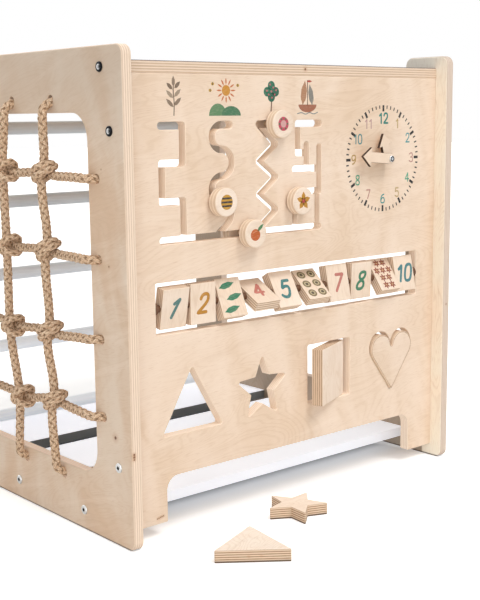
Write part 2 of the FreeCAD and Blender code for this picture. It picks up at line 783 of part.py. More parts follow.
def knob_places():
    """Each knob's (x, z) in its slot."""
    radii = wave_radii()
    line_x, top = at(WAVE_MIDDLE, MAZE_TOP)
    third_centre = top - 2 * sum(radii[:2]) - radii[2]
    angle = math.radians(WAVE_KNOB_ANGLE)
    wave = (line_x + radii[2] * math.cos(angle), third_centre + radii[2] * math.sin(angle))
    return {"wave": wave, "zigzag": at(*ZIGZAG_PATH[0]),
            "grid": at(GRID_PATHS[-1][0][0], GRID_KNOB_Z), "floor": at(FLOOR_KNOB_X, SLOT_LEVEL)}


# Number blocks and their rod

def make_block(x, tilt):
    """One number block, tipped about the rod."""
    x *= SPREAD
    half = BLOCK_WIDTH * SPREAD / 2
    board = box(x - half, FRONT_MIDDLE - BLOCK_THICKNESS / 2, ROD_Z - BLOCK_HEIGHT / 2,
                x + half, FRONT_MIDDLE + BLOCK_THICKNESS / 2, ROD_Z + BLOCK_HEIGHT / 2)
    board = board.makeFillet(BLOCK_ROUND, board.Edges)
    board = board.cut(bar_x(ROD_DIAMETER + 2 * SPIN_PLAY, x - half - MARGIN,
                            x + half + MARGIN, FRONT_MIDDLE, ROD_Z))
    board.rotate(Vec(0, FRONT_MIDDLE, ROD_Z), X_AXIS, -tilt)
    return board


def make_rod():
    """The rod, slid in through the panel's left edge."""
    return bar_x(ROD_DIAMETER, INNER_LEFT + ROD_EDGE_GAP, WINDOW_RIGHT + ROD_SOCKET,
                 FRONT_MIDDLE, ROD_Z)


def make_collars():
    """A collar on the rod at each end of the number window."""
    collars = []
    for x in (WINDOW_LEFT, WINDOW_RIGHT - COLLAR_LENGTH):
        ring = bar_x(COLLAR_DIAMETER, x, x + COLLAR_LENGTH, FRONT_MIDDLE, ROD_Z)
        bore = bar_x(ROD_DIAMETER, x - MARGIN, x + COLLAR_LENGTH + MARGIN,
                     FRONT_MIDDLE, ROD_Z)
        collars.append(ring.cut(bore))
    return Part.makeCompound(collars)


# Clock

def hand_levels():
    """The front face's y of the hour hand and of the minute hand."""
    hour = FRONT_FACE - LONG_SPACER - HAND_GAP - HAND_THICKNESS
    minute = hour - HAND_GAP - THIN_SPACER - HAND_GAP - HAND_THICKNESS
    return hour, minute


def make_hand(length, y, angle):
    """An arrow hand with a round hub, pointing up before it is turned."""
    half = HAND_WIDTH / 2
    neck = length - HAND_HEAD_LENGTH
    wing = HAND_HEAD_WIDTH / 2
    place = on_front(y)
    corners = [place(-half, 0), place(-half, neck), place(-wing, neck), place(0, length),
               place(wing, neck), place(half, neck), place(half, 0)]
    edges = [Part.LineSegment(a, b).toShape() for a, b in zip(corners, corners[1:])]
    edges.append(Part.Arc(corners[-1], place(0, -half), corners[0]).toShape())
    hand = slab(Part.Wire(edges), Y_AXIS * HAND_THICKNESS)
    hand = with_round_rims(hand, 1, [y, y + HAND_THICKNESS], HAND_ROUND)
    hand = hand.cut(bar_y(PIVOT_DIAMETER + 2 * SPIN_PLAY, y - MARGIN,
                          y + HAND_THICKNESS + MARGIN, 0, 0))
    hand.rotate(Vec(0, 0, 0), Y_AXIS, angle)
    hand.translate(Vec(CLOCK_PLACE[0], 0, CLOCK_PLACE[1]))
    return hand


def ring_y(outer, inner, y0, y1):
    """A ring on the clock's pivot."""
    return bar_y(outer, y0, y1, *CLOCK_PLACE).cut(
        bar_y(inner, y0 - MARGIN, y1 + MARGIN, *CLOCK_PLACE))


def make_clock_spacers():
    """The long spacer on the panel, the thin one between the hands and the rear washer."""
    between = hand_levels()[0] - HAND_GAP
    return Part.makeCompound([
        ring_y(SPACER_DIAMETER, PIVOT_DIAMETER, FRONT_FACE - LONG_SPACER, FRONT_FACE),
        ring_y(SPACER_DIAMETER, PIVOT_DIAMETER, between - THIN_SPACER, between),
        ring_y(WASHER_DIAMETER, PIVOT_DIAMETER, FRONT_BACK, FRONT_BACK + WASHER_THICKNESS)])


def make_clock_screw():
    """The clock's pivot with its domed head."""
    front = hand_levels()[1] - HAND_GAP
    head = bar_y(PIVOT_HEAD_DIAMETER, front - PIVOT_HEAD_HEIGHT, front, *CLOCK_PLACE)
    head = with_round_rims(head, 1, [front - PIVOT_HEAD_HEIGHT], PIVOT_HEAD_ROUND)
    recess = slab(hexagon(HEX_SOCKET, *CLOCK_PLACE, on_front(front - PIVOT_HEAD_HEIGHT)),
                  Y_AXIS * HEX_SOCKET_DEPTH)
    end = FRONT_BACK + WASHER_THICKNESS + NUT_HEIGHT + PIVOT_TAIL
    shank = bar_y(PIVOT_DIAMETER, front - NEAR, end, *CLOCK_PLACE)
    return head.cut(recess).fuse(shank).removeSplitter()


def make_clock_nut():
    """The hexagon nut behind the panel."""
    y = FRONT_BACK + WASHER_THICKNESS
    nut = slab(hexagon(NUT_SIZE, *CLOCK_PLACE, on_front(y)), Y_AXIS * NUT_HEIGHT)
    return nut.cut(bar_y(PIVOT_DIAMETER, y - MARGIN, y + NUT_HEIGHT + MARGIN, *CLOCK_PLACE))


# Ropes

def rope_route(knots, start, end, belly, crossing_out):
    """Points (out, along, sideways) of a rope that enters the panel at both its ends."""
    way = 1 if end[0] > start[0] else -1
    route = [(-ROPE_INSIDE,) + start, (EXIT_OUT,) + start]
    route.append((belly, start[0] + way * EXIT_RUN, (start[1] + knots[0][1]) / 2))
    route += [(crossing_out,) + knot for knot in knots]
    route.append((belly, end[0] - way * EXIT_RUN, (end[1] + knots[-1][1]) / 2))
    route += [(EXIT_OUT,) + end, (-ROPE_INSIDE,) + end]
    return route


def upright_route(column):
    """The points of an upright rope, from its upper hole to its lower hole."""
    knots = [(row[column][1], row[column][0]) for row in reversed(crossings())]
    y = rope_columns()[column]
    route = rope_route(knots, (ROPE_HOLE_TOP * RISE, y), (ROPE_HOLE_BOTTOM, y),
                       UPRIGHT_BELLY, UPRIGHT_OUT)
    return [Vec(-out, side, along) for out, along, side in route]


def level_route(row):
    """The points of a level rope, from its front hole to its rear hole."""
    z = rope_rows()[row]
    far = SIDE_DEPTH - ROPE_HOLE_EDGE
    route = rope_route(crossings()[row], (ROPE_HOLE_EDGE, z), (far, z),
                       LEVEL_BELLY, LEVEL_OUT)
    return [Vec(-out, along, side) for out, along, side in route]


def rope_line(points):
    """Straight runs joined by arcs, from the first point to the last."""
    edges = []
    here = points[0]
    for before, corner, after in zip(points, points[1:], points[2:]):
        shorter = min((corner - before).Length, (after - corner).Length)
        half_turn = (corner - before).getAngle(after - corner) / 2
        radius = ARC_SHARE * shorter / math.tan(half_turn)
        start, middle, end = rounded_corner(before, corner, after, radius)
        edges.append(Part.LineSegment(here, start).toShape())
        edges.append(Part.Arc(start, middle, end).toShape())
        here = end
    edges.append(Part.LineSegment(here, points[-1]).toShape())
    return Part.Wire(edges)


def make_rope(points):
    """A rope of round section along its points."""
    circle = Part.makeCircle(ROPE_DIAMETER / 2, points[0], points[1] - points[0])
    return rope_line(points).makePipeShell([Part.Wire([circle])], True, True)


def make_net_knots():
    """Two slanting rings of cord round the ropes at every crossing of the net."""
    climb = math.radians(KNOT_CLIMB)
    across = Vec(0, math.sin(climb), math.cos(climb))
    depth = -(UPRIGHT_OUT + LEVEL_OUT) / 2
    rings = []
    for row in crossings():
        for y, z in row:
            for side in (-1, 1):
                centre = Vec(depth, y, z) + across * (side * KNOT_SPLAY)
                rings.append(Part.makeTorus(KNOT_RING, KNOT_STRAND, centre, across))
    return Part.makeCompound(rings)


def make_rope_ends():
    """The stopper knot on each rope's end, inside the side panel."""
    knots = []
    first = BOARD + STOPPER_STRAND
    second = first + STOPPER_PITCH
    for y, z in rope_holes():
        knot = Part.makeTorus(STOPPER_FIRST_RING, STOPPER_STRAND, Vec(first, y, z), X_AXIS)
        outer = Part.makeTorus(STOPPER_SECOND_RING, STOPPER_STRAND, Vec(second, y, z), X_AXIS)
        tail = bar_x(ROPE_DIAMETER, first, second + STOPPER_TAIL, y, z)
        bore = bar_x(ROPE_DIAMETER, 0, ROPE_INSIDE, y, z)
        knots.append(knot.fuse([outer, tail]).cut(bore))
    return Part.makeCompound(knots)


def build():
    """Every sub-part by name, drawn from the cube's left, front, bottom corner."""
    parts = {
        "left_side_panel": make_left_side(),
        "right_side_panel": make_right_side(),
        "front_panel": make_front(),
        "top_board": level_board(FRONT_FACE, REAR_FACE, FRONT_TOP,
                                 [y for y, _ in black_bolt_places()[:2]]),
        "top_film": make_top_film(),
        "floor_slat_front": level_board(FRONT_SLAT_INSET, FRONT_SLAT_END, SLAT_BOTTOM,
                                        slat_bolt_places()[:2]),
        "floor_slat_rear": level_board(REAR_SLAT_START, REAR_SLAT_END, SLAT_BOTTOM,
                                       slat_bolt_places()[2:]),
        "net_knots": make_net_knots(),
        "rope_end_knots": make_rope_ends(),
        "black_bolts": bolts_on_both_sides(black_bolt_places()),
        "silver_bolts": bolts_on_both_sides(silver_bolt_places()),
        "rung_screws": bolts_on_both_sides(rung_screw_places()),
        "barrel_nuts": make_barrel_nuts(),
        "clock_screw": make_clock_screw(),
        "clock_spacers": make_clock_spacers(),
        "clock_nut": make_clock_nut(),
        "number_rod": make_rod(),
        "rod_collars": make_collars(),
        "heart_piece": make_heart(),
        "square_piece": make_square(),
        "triangle_piece": make_loose(triangle_wire(SHAPE_PLAY, on_floor(0)),
                                     LOOSE_TRIANGLE, LOOSE_TRIANGLE_TURN),
        "star_piece": make_loose(star_wire(SHAPE_PLAY, on_floor(0)),
                                 LOOSE_STAR, LOOSE_STAR_TURN),
    }
    for i, z in enumerate(rung_levels()):
        parts[f"rung_{i + 1}"] = make_rung(z)
    for i in range(ROPE_COLUMNS):
        parts[f"rope_upright_{i + 1}"] = make_rope(upright_route(i))
    for i in range(ROPE_ROWS):
        parts[f"rope_level_{i + 1}"] = make_rope(level_route(i))
    for i, (x, tilt) in enumerate(zip(BLOCK_PLACES, BLOCK_TILTS)):
        parts[f"number_block_{i + 1}"] = make_block(x, tilt)
    for name, (x, z) in knob_places().items():
        disc, axle, back = make_knob(x, z)
        parts[f"{name}_knob_disc"] = disc
        parts[f"{name}_knob_axle"] = axle
        parts[f"{name}_knob_rear"] = back
    hour, minute = hand_levels()
    parts["hour_hand"] = make_hand(HOUR_HAND, hour, HOUR_ANGLE)
    parts["minute_hand"] = make_hand(MINUTE_HAND, minute, MINUTE_ANGLE)
    return parts


def main():
    parts = build()
    nearest = parts["triangle_piece"].optimalBoundingBox(False).YMin
    move = Vec(-CUBE_WIDTH / 2, -(nearest + SIDE_DEPTH) / 2, 0)
    os.makedirs("parts", exist_ok=True)
    for name, shape in parts.items():
        shape.translate(move)
        shape.exportStep(f"parts/{name}.step")


main()
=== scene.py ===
# %% [markdown]
# # Activity cube
# A wooden play cube: two plywood sides, a play panel with a maze, number blocks, a clock and
# sorting holes, a ladder at the back and a rope net over the left opening.
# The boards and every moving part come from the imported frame. Here they get their finishes,
# and what a solid can't show is modelled: plaited rope, tied knots and printed figures.
# The frame is loaded first, because each new piece takes its place from it.

# %% Load the frame
import math
import random

import bmesh
import bpy
from mathutils import Matrix, Vector


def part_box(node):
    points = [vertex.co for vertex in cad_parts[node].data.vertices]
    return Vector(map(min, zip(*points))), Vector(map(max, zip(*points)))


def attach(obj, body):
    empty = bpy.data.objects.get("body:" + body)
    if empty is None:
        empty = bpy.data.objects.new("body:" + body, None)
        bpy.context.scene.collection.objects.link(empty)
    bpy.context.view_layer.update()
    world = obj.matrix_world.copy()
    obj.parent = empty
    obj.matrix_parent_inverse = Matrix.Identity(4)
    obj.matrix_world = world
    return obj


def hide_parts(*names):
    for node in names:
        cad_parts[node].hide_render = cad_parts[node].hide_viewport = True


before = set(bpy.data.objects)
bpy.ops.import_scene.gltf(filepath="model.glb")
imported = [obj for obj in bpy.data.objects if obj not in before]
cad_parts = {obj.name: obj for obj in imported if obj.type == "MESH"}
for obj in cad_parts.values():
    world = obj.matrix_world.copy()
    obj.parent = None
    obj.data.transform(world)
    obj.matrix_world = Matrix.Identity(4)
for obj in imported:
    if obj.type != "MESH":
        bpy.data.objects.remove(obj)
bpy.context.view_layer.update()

# %% [markdown]
# ## A corner to measure from
# The maker measures from the cube's left, front, bottom corner, in millimetres. The frame has
# its origin in the middle of the footprint, in metres. One small helper turns the first into
# the second, so that every number below can be read off the boards.

# %% Millimetres to the frame
MM = 0.001
CORNER = Vector((*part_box("left_side_panel")[0].xy, 0.0))


def spot(x, y, z):
    """A point given in millimetres from the cube's left, front, bottom corner."""
    return CORNER + Vector((x, y, z)) * MM


print("corner of the left side:", [round(c, 4) for c in CORNER])

# %% [markdown]
# ## Helpers for pieces
# Some things happen again and again: a primitive is added with nothing else selected, a piece
# is opened for editing, a mesh becomes an object, and a finished piece is copied with a mesh
# of its own. Each gets a helper, so that the cells below hold what is special to their piece.

# %% Begin, edit and copy a piece
def begin(primitive, **settings):
    """Adds a primitive with nothing else selected."""
    bpy.ops.object.select_all(action="DESELECT")
    primitive(**settings)
    return bpy.context.object


def editing(on, select="SELECT"):
    """Opens the active piece for editing with all selected, or closes it."""
    bpy.ops.object.mode_set(mode="EDIT" if on else "OBJECT")
    if on:
        bpy.ops.mesh.select_all(action=select)


def object_of(name, mesh):
    """A new object that shows a mesh."""
    piece = bpy.data.objects.new(name, mesh)
    bpy.context.collection.objects.link(piece)
    return piece


def copy_of(kind, name):
    """A copy of a piece with a mesh of its own."""
    piece = kind.copy()
    piece.name, piece.data = name, kind.data.copy()
    bpy.context.collection.objects.link(piece)
    return piece


print("helpers for pieces ready")

# %% [markdown]
# ## Camera
# The camera stands low, left of the cube's front corner, and looks slightly down. Its place
# and its lens were found from the straight edges of the boards, so the render can be laid
# over the photograph. A lens of 67 mm gives the gentle convergence of a product photograph.

# %% Place the camera
CAMERA_PLACE = Vector((-1.3002, -1.6324, 0.6556))
CAMERA_YAW = 0.7058
CAMERA_PITCH = 0.162
CAMERA_ROLL = -0.0113
CAMERA_LENS = 67.494

ahead = Vector((math.sin(CAMERA_YAW) * math.cos(CAMERA_PITCH),
                math.cos(CAMERA_YAW) * math.cos(CAMERA_PITCH), -math.sin(CAMERA_PITCH)))
rightward = ahead.cross(Vector((0, 0, 1))).normalized()
upward = rightward.cross(ahead)
rolled_right = math.cos(CAMERA_ROLL) * rightward + math.sin(CAMERA_ROLL) * upward
rolled_up = math.cos(CAMERA_ROLL) * upward - math.sin(CAMERA_ROLL) * rightward
camera = begin(bpy.ops.object.camera_add, location=CAMERA_PLACE)
camera.name = "photo_camera"
camera.matrix_world = Matrix.Translation(CAMERA_PLACE) @ Matrix(
    (rolled_right, rolled_up, -ahead)).transposed().to_4x4()
camera.data.lens = CAMERA_LENS
camera.data.sensor_width = 36.0
bpy.context.scene.camera = camera
print("camera at", [round(c, 3) for c in camera.location])

# %% [markdown]
# ## The ropes' routes
# Eight jute ropes make the net: four hang upright and four run level. Each enters the side
# panel through a hole at both ends and leaves it at once along the board. A rope could be
# drawn as a plain tube, but its line has to be smooth, so each route is a NURBS curve with a
# handful of control points: in the hole, just outside it, and on both sides of every
# crossing, which has slipped a little from an even grid.

# %% Where the ropes run
SIDE_DEPTH = 754.0
ROPE_COLUMNS = [196.0, 316.667, 437.333, 558.0]
ROPE_ROWS = [199.5, 321.5, 443.5, 565.5]
KNOT_SLIPS = [
    [(0.2, 6.8), (-16.9, -5.7), (4.0, 3.0), (-3.5, -2.0)],
    [(7.4, -2.7), (6.5, -9.0), (-3.0, 4.5), (5.0, -3.0)],
    [(3.8, 6.3), (4.8, 3.1), (2.5, -4.0), (-4.0, 3.5)],
    [(6.6, 7.2), (7.1, 3.6), (-4.0, 5.0), (3.0, 6.0)],
]
crossings = [[(y + dy, z + dz) for y, (dy, dz) in zip(ROPE_COLUMNS, slips)]
             for z, slips in zip(ROPE_ROWS, KNOT_SLIPS)]
HOLE_TOP, HOLE_BOTTOM, HOLE_EDGE = 684.0, 80.0, 73.0
UPRIGHT_OUT, LEVEL_OUT = 18.0, 4.0
TURN_OUT, INSIDE, NEAR_KNOT = 14.0, 30.0, 17.0
BELOW_HOLE, BESIDE_HOLE, TO_KNOT = 40, 45, 0.3
UPRIGHT_PASS = [((7.0, -2.0), (-2.0, 1.0)), ((0.0, 0.0), (0.0, 0.0))]
LEVEL_SAG = [7.0, 2.0]


def between(hole, knot):
    """A little of the way from a hole's line to the first knot's."""
    return hole * (1 - TO_KNOT) + knot * TO_KNOT


def upright_route(column):
    """The control points of an upright rope, from its upper hole to its lower hole."""
    y = ROPE_COLUMNS[column]
    knots = [row[column] for row in reversed(crossings)]
    route = [(INSIDE, y, HOLE_TOP), (-TURN_OUT, y, HOLE_TOP - 1),
             (-TURN_OUT - 1, between(y, knots[0][0]), HOLE_TOP - BELOW_HOLE)]
    above, below = UPRIGHT_PASS[column % 2]
    for ky, kz in knots:
        route += [(-UPRIGHT_OUT + above[0], ky + above[1], kz + NEAR_KNOT),
                  (-UPRIGHT_OUT + below[0], ky + below[1], kz - NEAR_KNOT)]
    route += [(-TURN_OUT - 1, between(y, knots[-1][0]), HOLE_BOTTOM + BELOW_HOLE),
              (-TURN_OUT, y, HOLE_BOTTOM + 1), (INSIDE, y, HOLE_BOTTOM)]
    return [spot(*p) for p in route]


def level_route(row):
    """The control points of a level rope, from its front hole to its rear hole."""
    z = ROPE_ROWS[row]
    far = SIDE_DEPTH - HOLE_EDGE
    knots = crossings[row]
    route = [(INSIDE, HOLE_EDGE, z), (-TURN_OUT, HOLE_EDGE + 1, z),
             (-TURN_OUT + 1, HOLE_EDGE + BESIDE_HOLE, between(z, knots[0][1]))]
    for column, (ky, kz) in enumerate(knots):
        sag = LEVEL_SAG[column % 2]
        route += [(-LEVEL_OUT, ky - NEAR_KNOT, kz - sag), (-LEVEL_OUT, ky + NEAR_KNOT, kz)]
    route += [(-TURN_OUT + 1, far - BESIDE_HOLE, between(z, knots[-1][1])),
              (-TURN_OUT, far - 1, z), (INSIDE, far, z)]
    return [spot(*p) for p in route]


print("crossings:", sum(len(row) for row in crossings))

# %% [markdown]
# ## Reading a curve's line
# Blender works out the smooth line of a NURBS curve when the curve, still without a bevel,
# becomes a mesh. Order 3 and the endpoint setting are given after the points, because a
# spline that has too few points when they are set stays at straight runs. The same path
# draws the pen strokes further down. The points of a rope's line are then spread evenly, so
# that the plait keeps its rhythm in the bends.

# %% A smooth line through control points
def nurbs_path(points, steps, closed=False):
    """A NURBS path of order 3 with these control points."""
    path = begin(bpy.ops.curve.primitive_nurbs_path_add, location=(0, 0, 0))
    path.data.splines.clear()
    spline = path.data.splines.new("NURBS")
    spline.points.add(len(points) - 1)
    for control, point in zip(spline.points, points):
        control.co = (*point, 1.0)
    spline.order_u = 3
    spline.use_endpoint_u = not closed
    spline.use_cyclic_u = closed
    path.data.resolution_u = steps
    return path


def mesh_of(path):
    """The mesh of a path, which is then removed."""
    mesh, curve = bpy.data.meshes.new_from_object(path), path.data
    bpy.data.objects.remove(path)
    bpy.data.curves.remove(curve)
    return mesh


def smooth_line(points, steps):
    """The points of the smooth line with these control points."""
    mesh = mesh_of(nurbs_path(points, steps))
    line = [v.co.copy() for v in mesh.vertices]
    bpy.data.meshes.remove(mesh)
    return line


def line_length(line):
    """How long a line of points is."""
    return sum((b - a).length for a, b in zip(line, line[1:]))


def even_line(line, step):
    """The same line with evenly spaced points."""
    count = max(2, round(line_length(line) / step))
    pitch = line_length(line) / count
    points, left = [line[0].copy()], pitch
    for a, b in zip(line, line[1:]):
        run = (b - a).length
        while run >= left and len(points) < count:
            a = a + (b - a) * (left / run)
            points.append(a.copy())
            run, left = (b - a).length, pitch
        left -= run
    return points + [line[-1].copy()]


ROPE_STEPS, KNOT_STEPS = 34, 9
upright_lines = [smooth_line(upright_route(i), ROPE_STEPS) for i in range(4)]
level_lines = [smooth_line(level_route(i), ROPE_STEPS) for i in range(4)]
print("upright ropes:", [round(line_length(line), 3) for line in upright_lines])
print("level ropes:", [round(line_length(line), 3) for line in level_lines])

# %% [markdown]
# ## Plaited rope
# The rope is a round plait of eight jute strands. Four wind one way and four the other, and
# each dives under every second strand that it meets, which gives the rope its rows of short
# slanting stitches. A texture on a tube would show no lumpy outline, so the strands are swept
# as real tubes: their distance from the middle rises and falls once every two crossings,
# and the two sets rise in turns. A core fills the middle.
# The points carry an attribute, crown, that says how far out they lie: the finish reads it
# for painted shade in the gaps and painted highlights on the crowns. A UV map runs along each
# strand for its fibres.

# %% Plait eight strands along a line
ROPE_DIAMETER = 14.0 * MM
PLAIT_RADIUS = 4.5 * MM
PLAIT_WAVE = 1.0 * MM
STRAND_THICK, STRAND_WIDE = 2.2 * MM, 3.4 * MM
PLAIT_TURN = 62 * MM
STRAND_SIDES, CORE_SIDES, CORE_RADIUS = 8, 6, 4.4 * MM
WAYS_ROUND = (1, 1, 1, 1, -1, -1, -1, -1)
SWELL, SWELL_LONG, SWELL_SHORT = 0.05, 4.3 * MM, 1.7 * MM
draw = random.Random(7)


def frames_along(line):
    """Each point's direction and two sideways axes, carried along without twist."""
    ways = [(line[min(i + 1, len(line) - 1)] - line[max(i - 1, 0)]).normalized()
            for i in range(len(line))]
    side = ways[0].orthogonal().normalized()
    out = []
    for way in ways:
        side = (side - way * side.dot(way)).normalized()
        out.append((way, side, way.cross(side)))
    return out


def strand_rings(line, axes, pitch, strand, start_turn, scale, wave):
    """The rings of points round one strand of a plait."""
    way_round = WAYS_ROUND[strand]
    phases = [draw.uniform(0, 6.28) for _ in range(3)]
    rings = []
    for i, (point, (way, side, up)) in enumerate(zip(line, axes)):
        run = i * pitch
        turn = way_round * 2 * math.pi * run / PLAIT_TURN + (strand % 4) * math.pi / 2 + start_turn
        reach = PLAIT_RADIUS + way_round * wave * math.cos(8 * math.pi * run / PLAIT_TURN)
        outward = math.cos(turn) * side + math.sin(turn) * up
        round_way = math.cos(turn) * up - math.sin(turn) * side
        lean = (way + round_way * (way_round * 2 * math.pi * reach / PLAIT_TURN)).normalized()
        across = lean.cross(outward)
        swell = 1 + SWELL * (math.sin(run / SWELL_LONG + phases[0])
                             + math.sin(run / SWELL_SHORT + phases[1]))
        centre = point + outward * (reach * scale)
        ring = []
        for j in range(STRAND_SIDES):
            angle = 2 * math.pi * j / STRAND_SIDES
            ring.append(centre + (outward * (math.cos(angle) * STRAND_THICK)
                                  + across * (math.sin(angle) * STRAND_WIDE)) * (swell * scale))
        rings.append(ring)
    return rings


def plaited_rope(name, line, start_turn=0.0, scale=1.0, step=1.7 * MM, wave=PLAIT_WAVE):
    """A mesh of eight plaited strands and a core that follow a line of points."""
    line = even_line(line, step)
    pitch = line_length(line) / (len(line) - 1)
    axes = frames_along(line)
    tubes = [strand_rings(line, axes, pitch, k, start_turn, scale, wave) for k in range(8)]
    tubes.append([[point + (side * math.cos(a) + up * math.sin(a)) * (CORE_RADIUS * scale)
                   for a in (2 * math.pi * j / CORE_SIDES for j in range(CORE_SIDES))]
                  for point, (way, side, up) in zip(line, axes)])
    points, crowns, faces, unwrap = [], [], [], []
    for number, rings in enumerate(tubes):
        base, sides = len(points), len(rings[0])
        for point, ring in zip(line, rings):
            points += ring
            crowns += [(corner - point).length / (0.5 * ROPE_DIAMETER * scale) for corner in ring]
        for i in range(len(rings) - 1):
            low = base + i * sides
            for j in range(sides):
                k = (j + 1) % sides
                faces.append((low + j, low + k, low + sides + k, low + sides + j))
                u0, u1 = number + j / sides, number + (j + 1) / sides
                v0, v1 = i * pitch / PLAIT_TURN, (i + 1) * pitch / PLAIT_TURN
                unwrap += [u0, v0, u1, v0, u1, v1, u0, v1]
        last = base + (len(rings) - 1) * sides
        faces.append(tuple(base + j for j in reversed(range(sides))))
        faces.append(tuple(last + j for j in range(sides)))
        unwrap += [0.0] * (4 * sides)
    data = bpy.data.meshes.new(name)
    data.from_pydata(points, [], faces)
    data.attributes.new("crown", "FLOAT", "POINT").data.foreach_set("value", crowns)
    data.uv_layers.new(name="yarns").data.foreach_set("uv", unwrap)
    data.polygons.foreach_set("use_smooth", [True] * len(data.polygons))
    return object_of(name, data)


uprights = [plaited_rope(f"rope_upright_plaited_{i + 1}", line, 0.7 * i)
            for i, line in enumerate(upright_lines)]
levels = [plaited_rope(f"rope_level_plaited_{i + 1}", line, 0.4 + 0.9 * i)
          for i, line in enumerate(level_lines)]
print("faces of one rope:", len(uprights[0].data.polygons))

# %% [markdown]
# ## Knots of the net
# At each crossing the level rope is tied round the upright one. Two kinds of knot are seen.
# In one, two turns lie side by side and climb to the right, and the upright rope dives behind
# them. In the other, one turn climbs to the right and the second dives to the lower right and
# ends in a round bulge. Each kind is a short rope on its own smooth line, modelled once and
# copied with a small turn of its own, because hand-tied knots never lie quite alike.

# %% Tie the two kinds of knot
KNOT_OUT = (UPRIGHT_OUT + LEVEL_OUT) / 2 * MM
KNOT_SCALE, KNOT_WAVE = 0.84, 0.7 * MM
CLIMB, TURNS_FROM, TURNS_OVER = math.radians(23), -150, 660
WIND_OUT, WIND_HIGH, WIND_PITCH, WIND_APART, WIND_BOW = 16.5, 20.5, 12.0, 6.0, 8.0
SIDE_BY_SIDE, LAST_POINT = [], 19
for step in range(LAST_POINT + 1):
    angle = math.radians(TURNS_FROM + TURNS_OVER / LAST_POINT * step)
    tuck = 0.5 if step in (0, LAST_POINT) else 1.0
    rise = (angle - math.pi) / (2 * math.pi) * WIND_PITCH
    rise = max(-WIND_APART, min(WIND_APART, rise))
    if math.pi / 2 < angle < 3 * math.pi / 2:
        rise -= WIND_BOW * math.cos(angle)
    climb = WIND_HIGH * math.sin(angle) * tuck
    SIDE_BY_SIDE.append((WIND_OUT * math.cos(angle) * tuck,
                         climb * math.cos(CLIMB) - rise * math.sin(CLIMB),
                         climb * math.sin(CLIMB) + rise * math.cos(CLIMB)))
CROSSED = [(-7, 2, -3), (-12, -10, -10), (0, -20, -12), (13, -12, -6), (17, 0, 5),
           (13, 11, 13), (1, 18, 16), (-12, 11, 10), (-15, -3, 2), (-11, -14, 6),
           (2, -17, 9), (12, -8, 4), (15, 4, -5), (12, 14, -11), (0, 19, -13),
           (-11, 12, -9), (-10, 0, -4)]


def tie(name, points):
    """A knot from points (out of the net, to the right, up) in millimetres."""
    points = [Vector((-out, -right, up)) * MM for out, right, up in points]
    line = smooth_line(points, KNOT_STEPS)
    return plaited_rope(name, line, scale=KNOT_SCALE, wave=KNOT_WAVE)


knot_kinds = [tie("knot_side_by_side", SIDE_BY_SIDE), tie("knot_crossed", CROSSED)]
print("knot sizes:", [[round(c, 3) for c in kind.dimensions] for kind in knot_kinds])

# %% Copy a knot to every crossing
net_knots = []
for row, places in enumerate(crossings):
    for column, (y, z) in enumerate(places):
        knot = copy_of(knot_kinds[column % 2], f"net_knot_{row + 1}_{column + 1}")
        turn = Matrix.Rotation(math.radians(draw.uniform(-8, 8)), 4, "X")
        size = Matrix.Scale(draw.uniform(0.97, 1.03), 4)
        middle = spot(0, y, z) - Vector((KNOT_OUT, 0, 0))
        knot.data.transform(Matrix.Translation(middle) @ turn @ size)
        net_knots.append(knot)
for kind in knot_kinds:
    bpy.data.objects.remove(kind)
print("knots of the net:", len(net_knots))

# %% [markdown]
# ## Stopper knots
# Inside the panel each rope's end is tied in a stopper knot, so that it can't slip back
# through its hole. It is a rope on a line that winds round twice, the second time tighter,
# and comes out of the middle as a short tail. The lower ones are pulled tighter and hang a
# little lower, out of sight behind the opening's sill.

# %% Tie a stopper knot at each rope's end
STOPPER = [(20, 0, 0), (23, 8, 2), (25, 7, 9), (25.5, -4, 10.5), (26, -10.5, 2), (26.5, -7, -9),
           (27, 5, -10.5), (29, 10.5, -2), (31.5, 7, 8), (35, -3, 8), (36, -8, 0), (36, -3, -8),
           (36.5, 6, -5), (38.5, 6, 3), (43, 0, 2), (48, 0, 0), (56, 1, -1)]
stopper_line = smooth_line([Vector(p) * MM for p in STOPPER], KNOT_STEPS)
stopper_kind = plaited_rope("stopper_kind", stopper_line, step=2.2 * MM)
LOW_DROP, LOW_SQUEEZE = 5.5 * MM, 0.76
lowered = Matrix.Translation((0, 0, -LOW_DROP))
tightened = Matrix.Diagonal((1.0, LOW_SQUEEZE, LOW_SQUEEZE, 1.0))
rope_ends = [(y, z) for y in ROPE_COLUMNS for z in (HOLE_TOP, HOLE_BOTTOM)]
rope_ends += [(y, z) for z in ROPE_ROWS for y in (HOLE_EDGE, SIDE_DEPTH - HOLE_EDGE)]
stoppers = []
for number, (y, z) in enumerate(rope_ends):
    stopper = copy_of(stopper_kind, f"stopper_knot_{number + 1}")
    turn = Matrix.Rotation(draw.uniform(0, 2 * math.pi), 4, "X")
    place = Matrix.Translation(spot(0, y, z))
    place = lowered @ place @ tightened if z == HOLE_BOTTOM else place
    stopper.data.transform(place @ turn)
    stoppers.append(stopper)
bpy.data.objects.remove(stopper_kind)
print("stopper knots:", len(stoppers))

# %% [markdown]
# ## What the ropes are in the frame
# Both ends of each rope go back into the panel and it hangs taut. The ropes and their
# knots all ride on the cube, and stand for the plain tubes and rings that the frame holds for
# them, which are hidden.

def jute_piece(piece, node):
    """The piece rides on the cube and stands for that node, which is hidden."""
    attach(piece, "cube")
    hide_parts(node)


for kind, ropes in (("upright", uprights), ("level", levels)):
    for i, rope in enumerate(ropes):
        jute_piece(rope, f"rope_{kind}_{i + 1}")
for knot in net_knots:
    jute_piece(knot, "net_knots")
for stopper in stoppers:
    jute_piece(stopper, "rope_end_knots")
print("cords:", len(uprights) + len(levels))

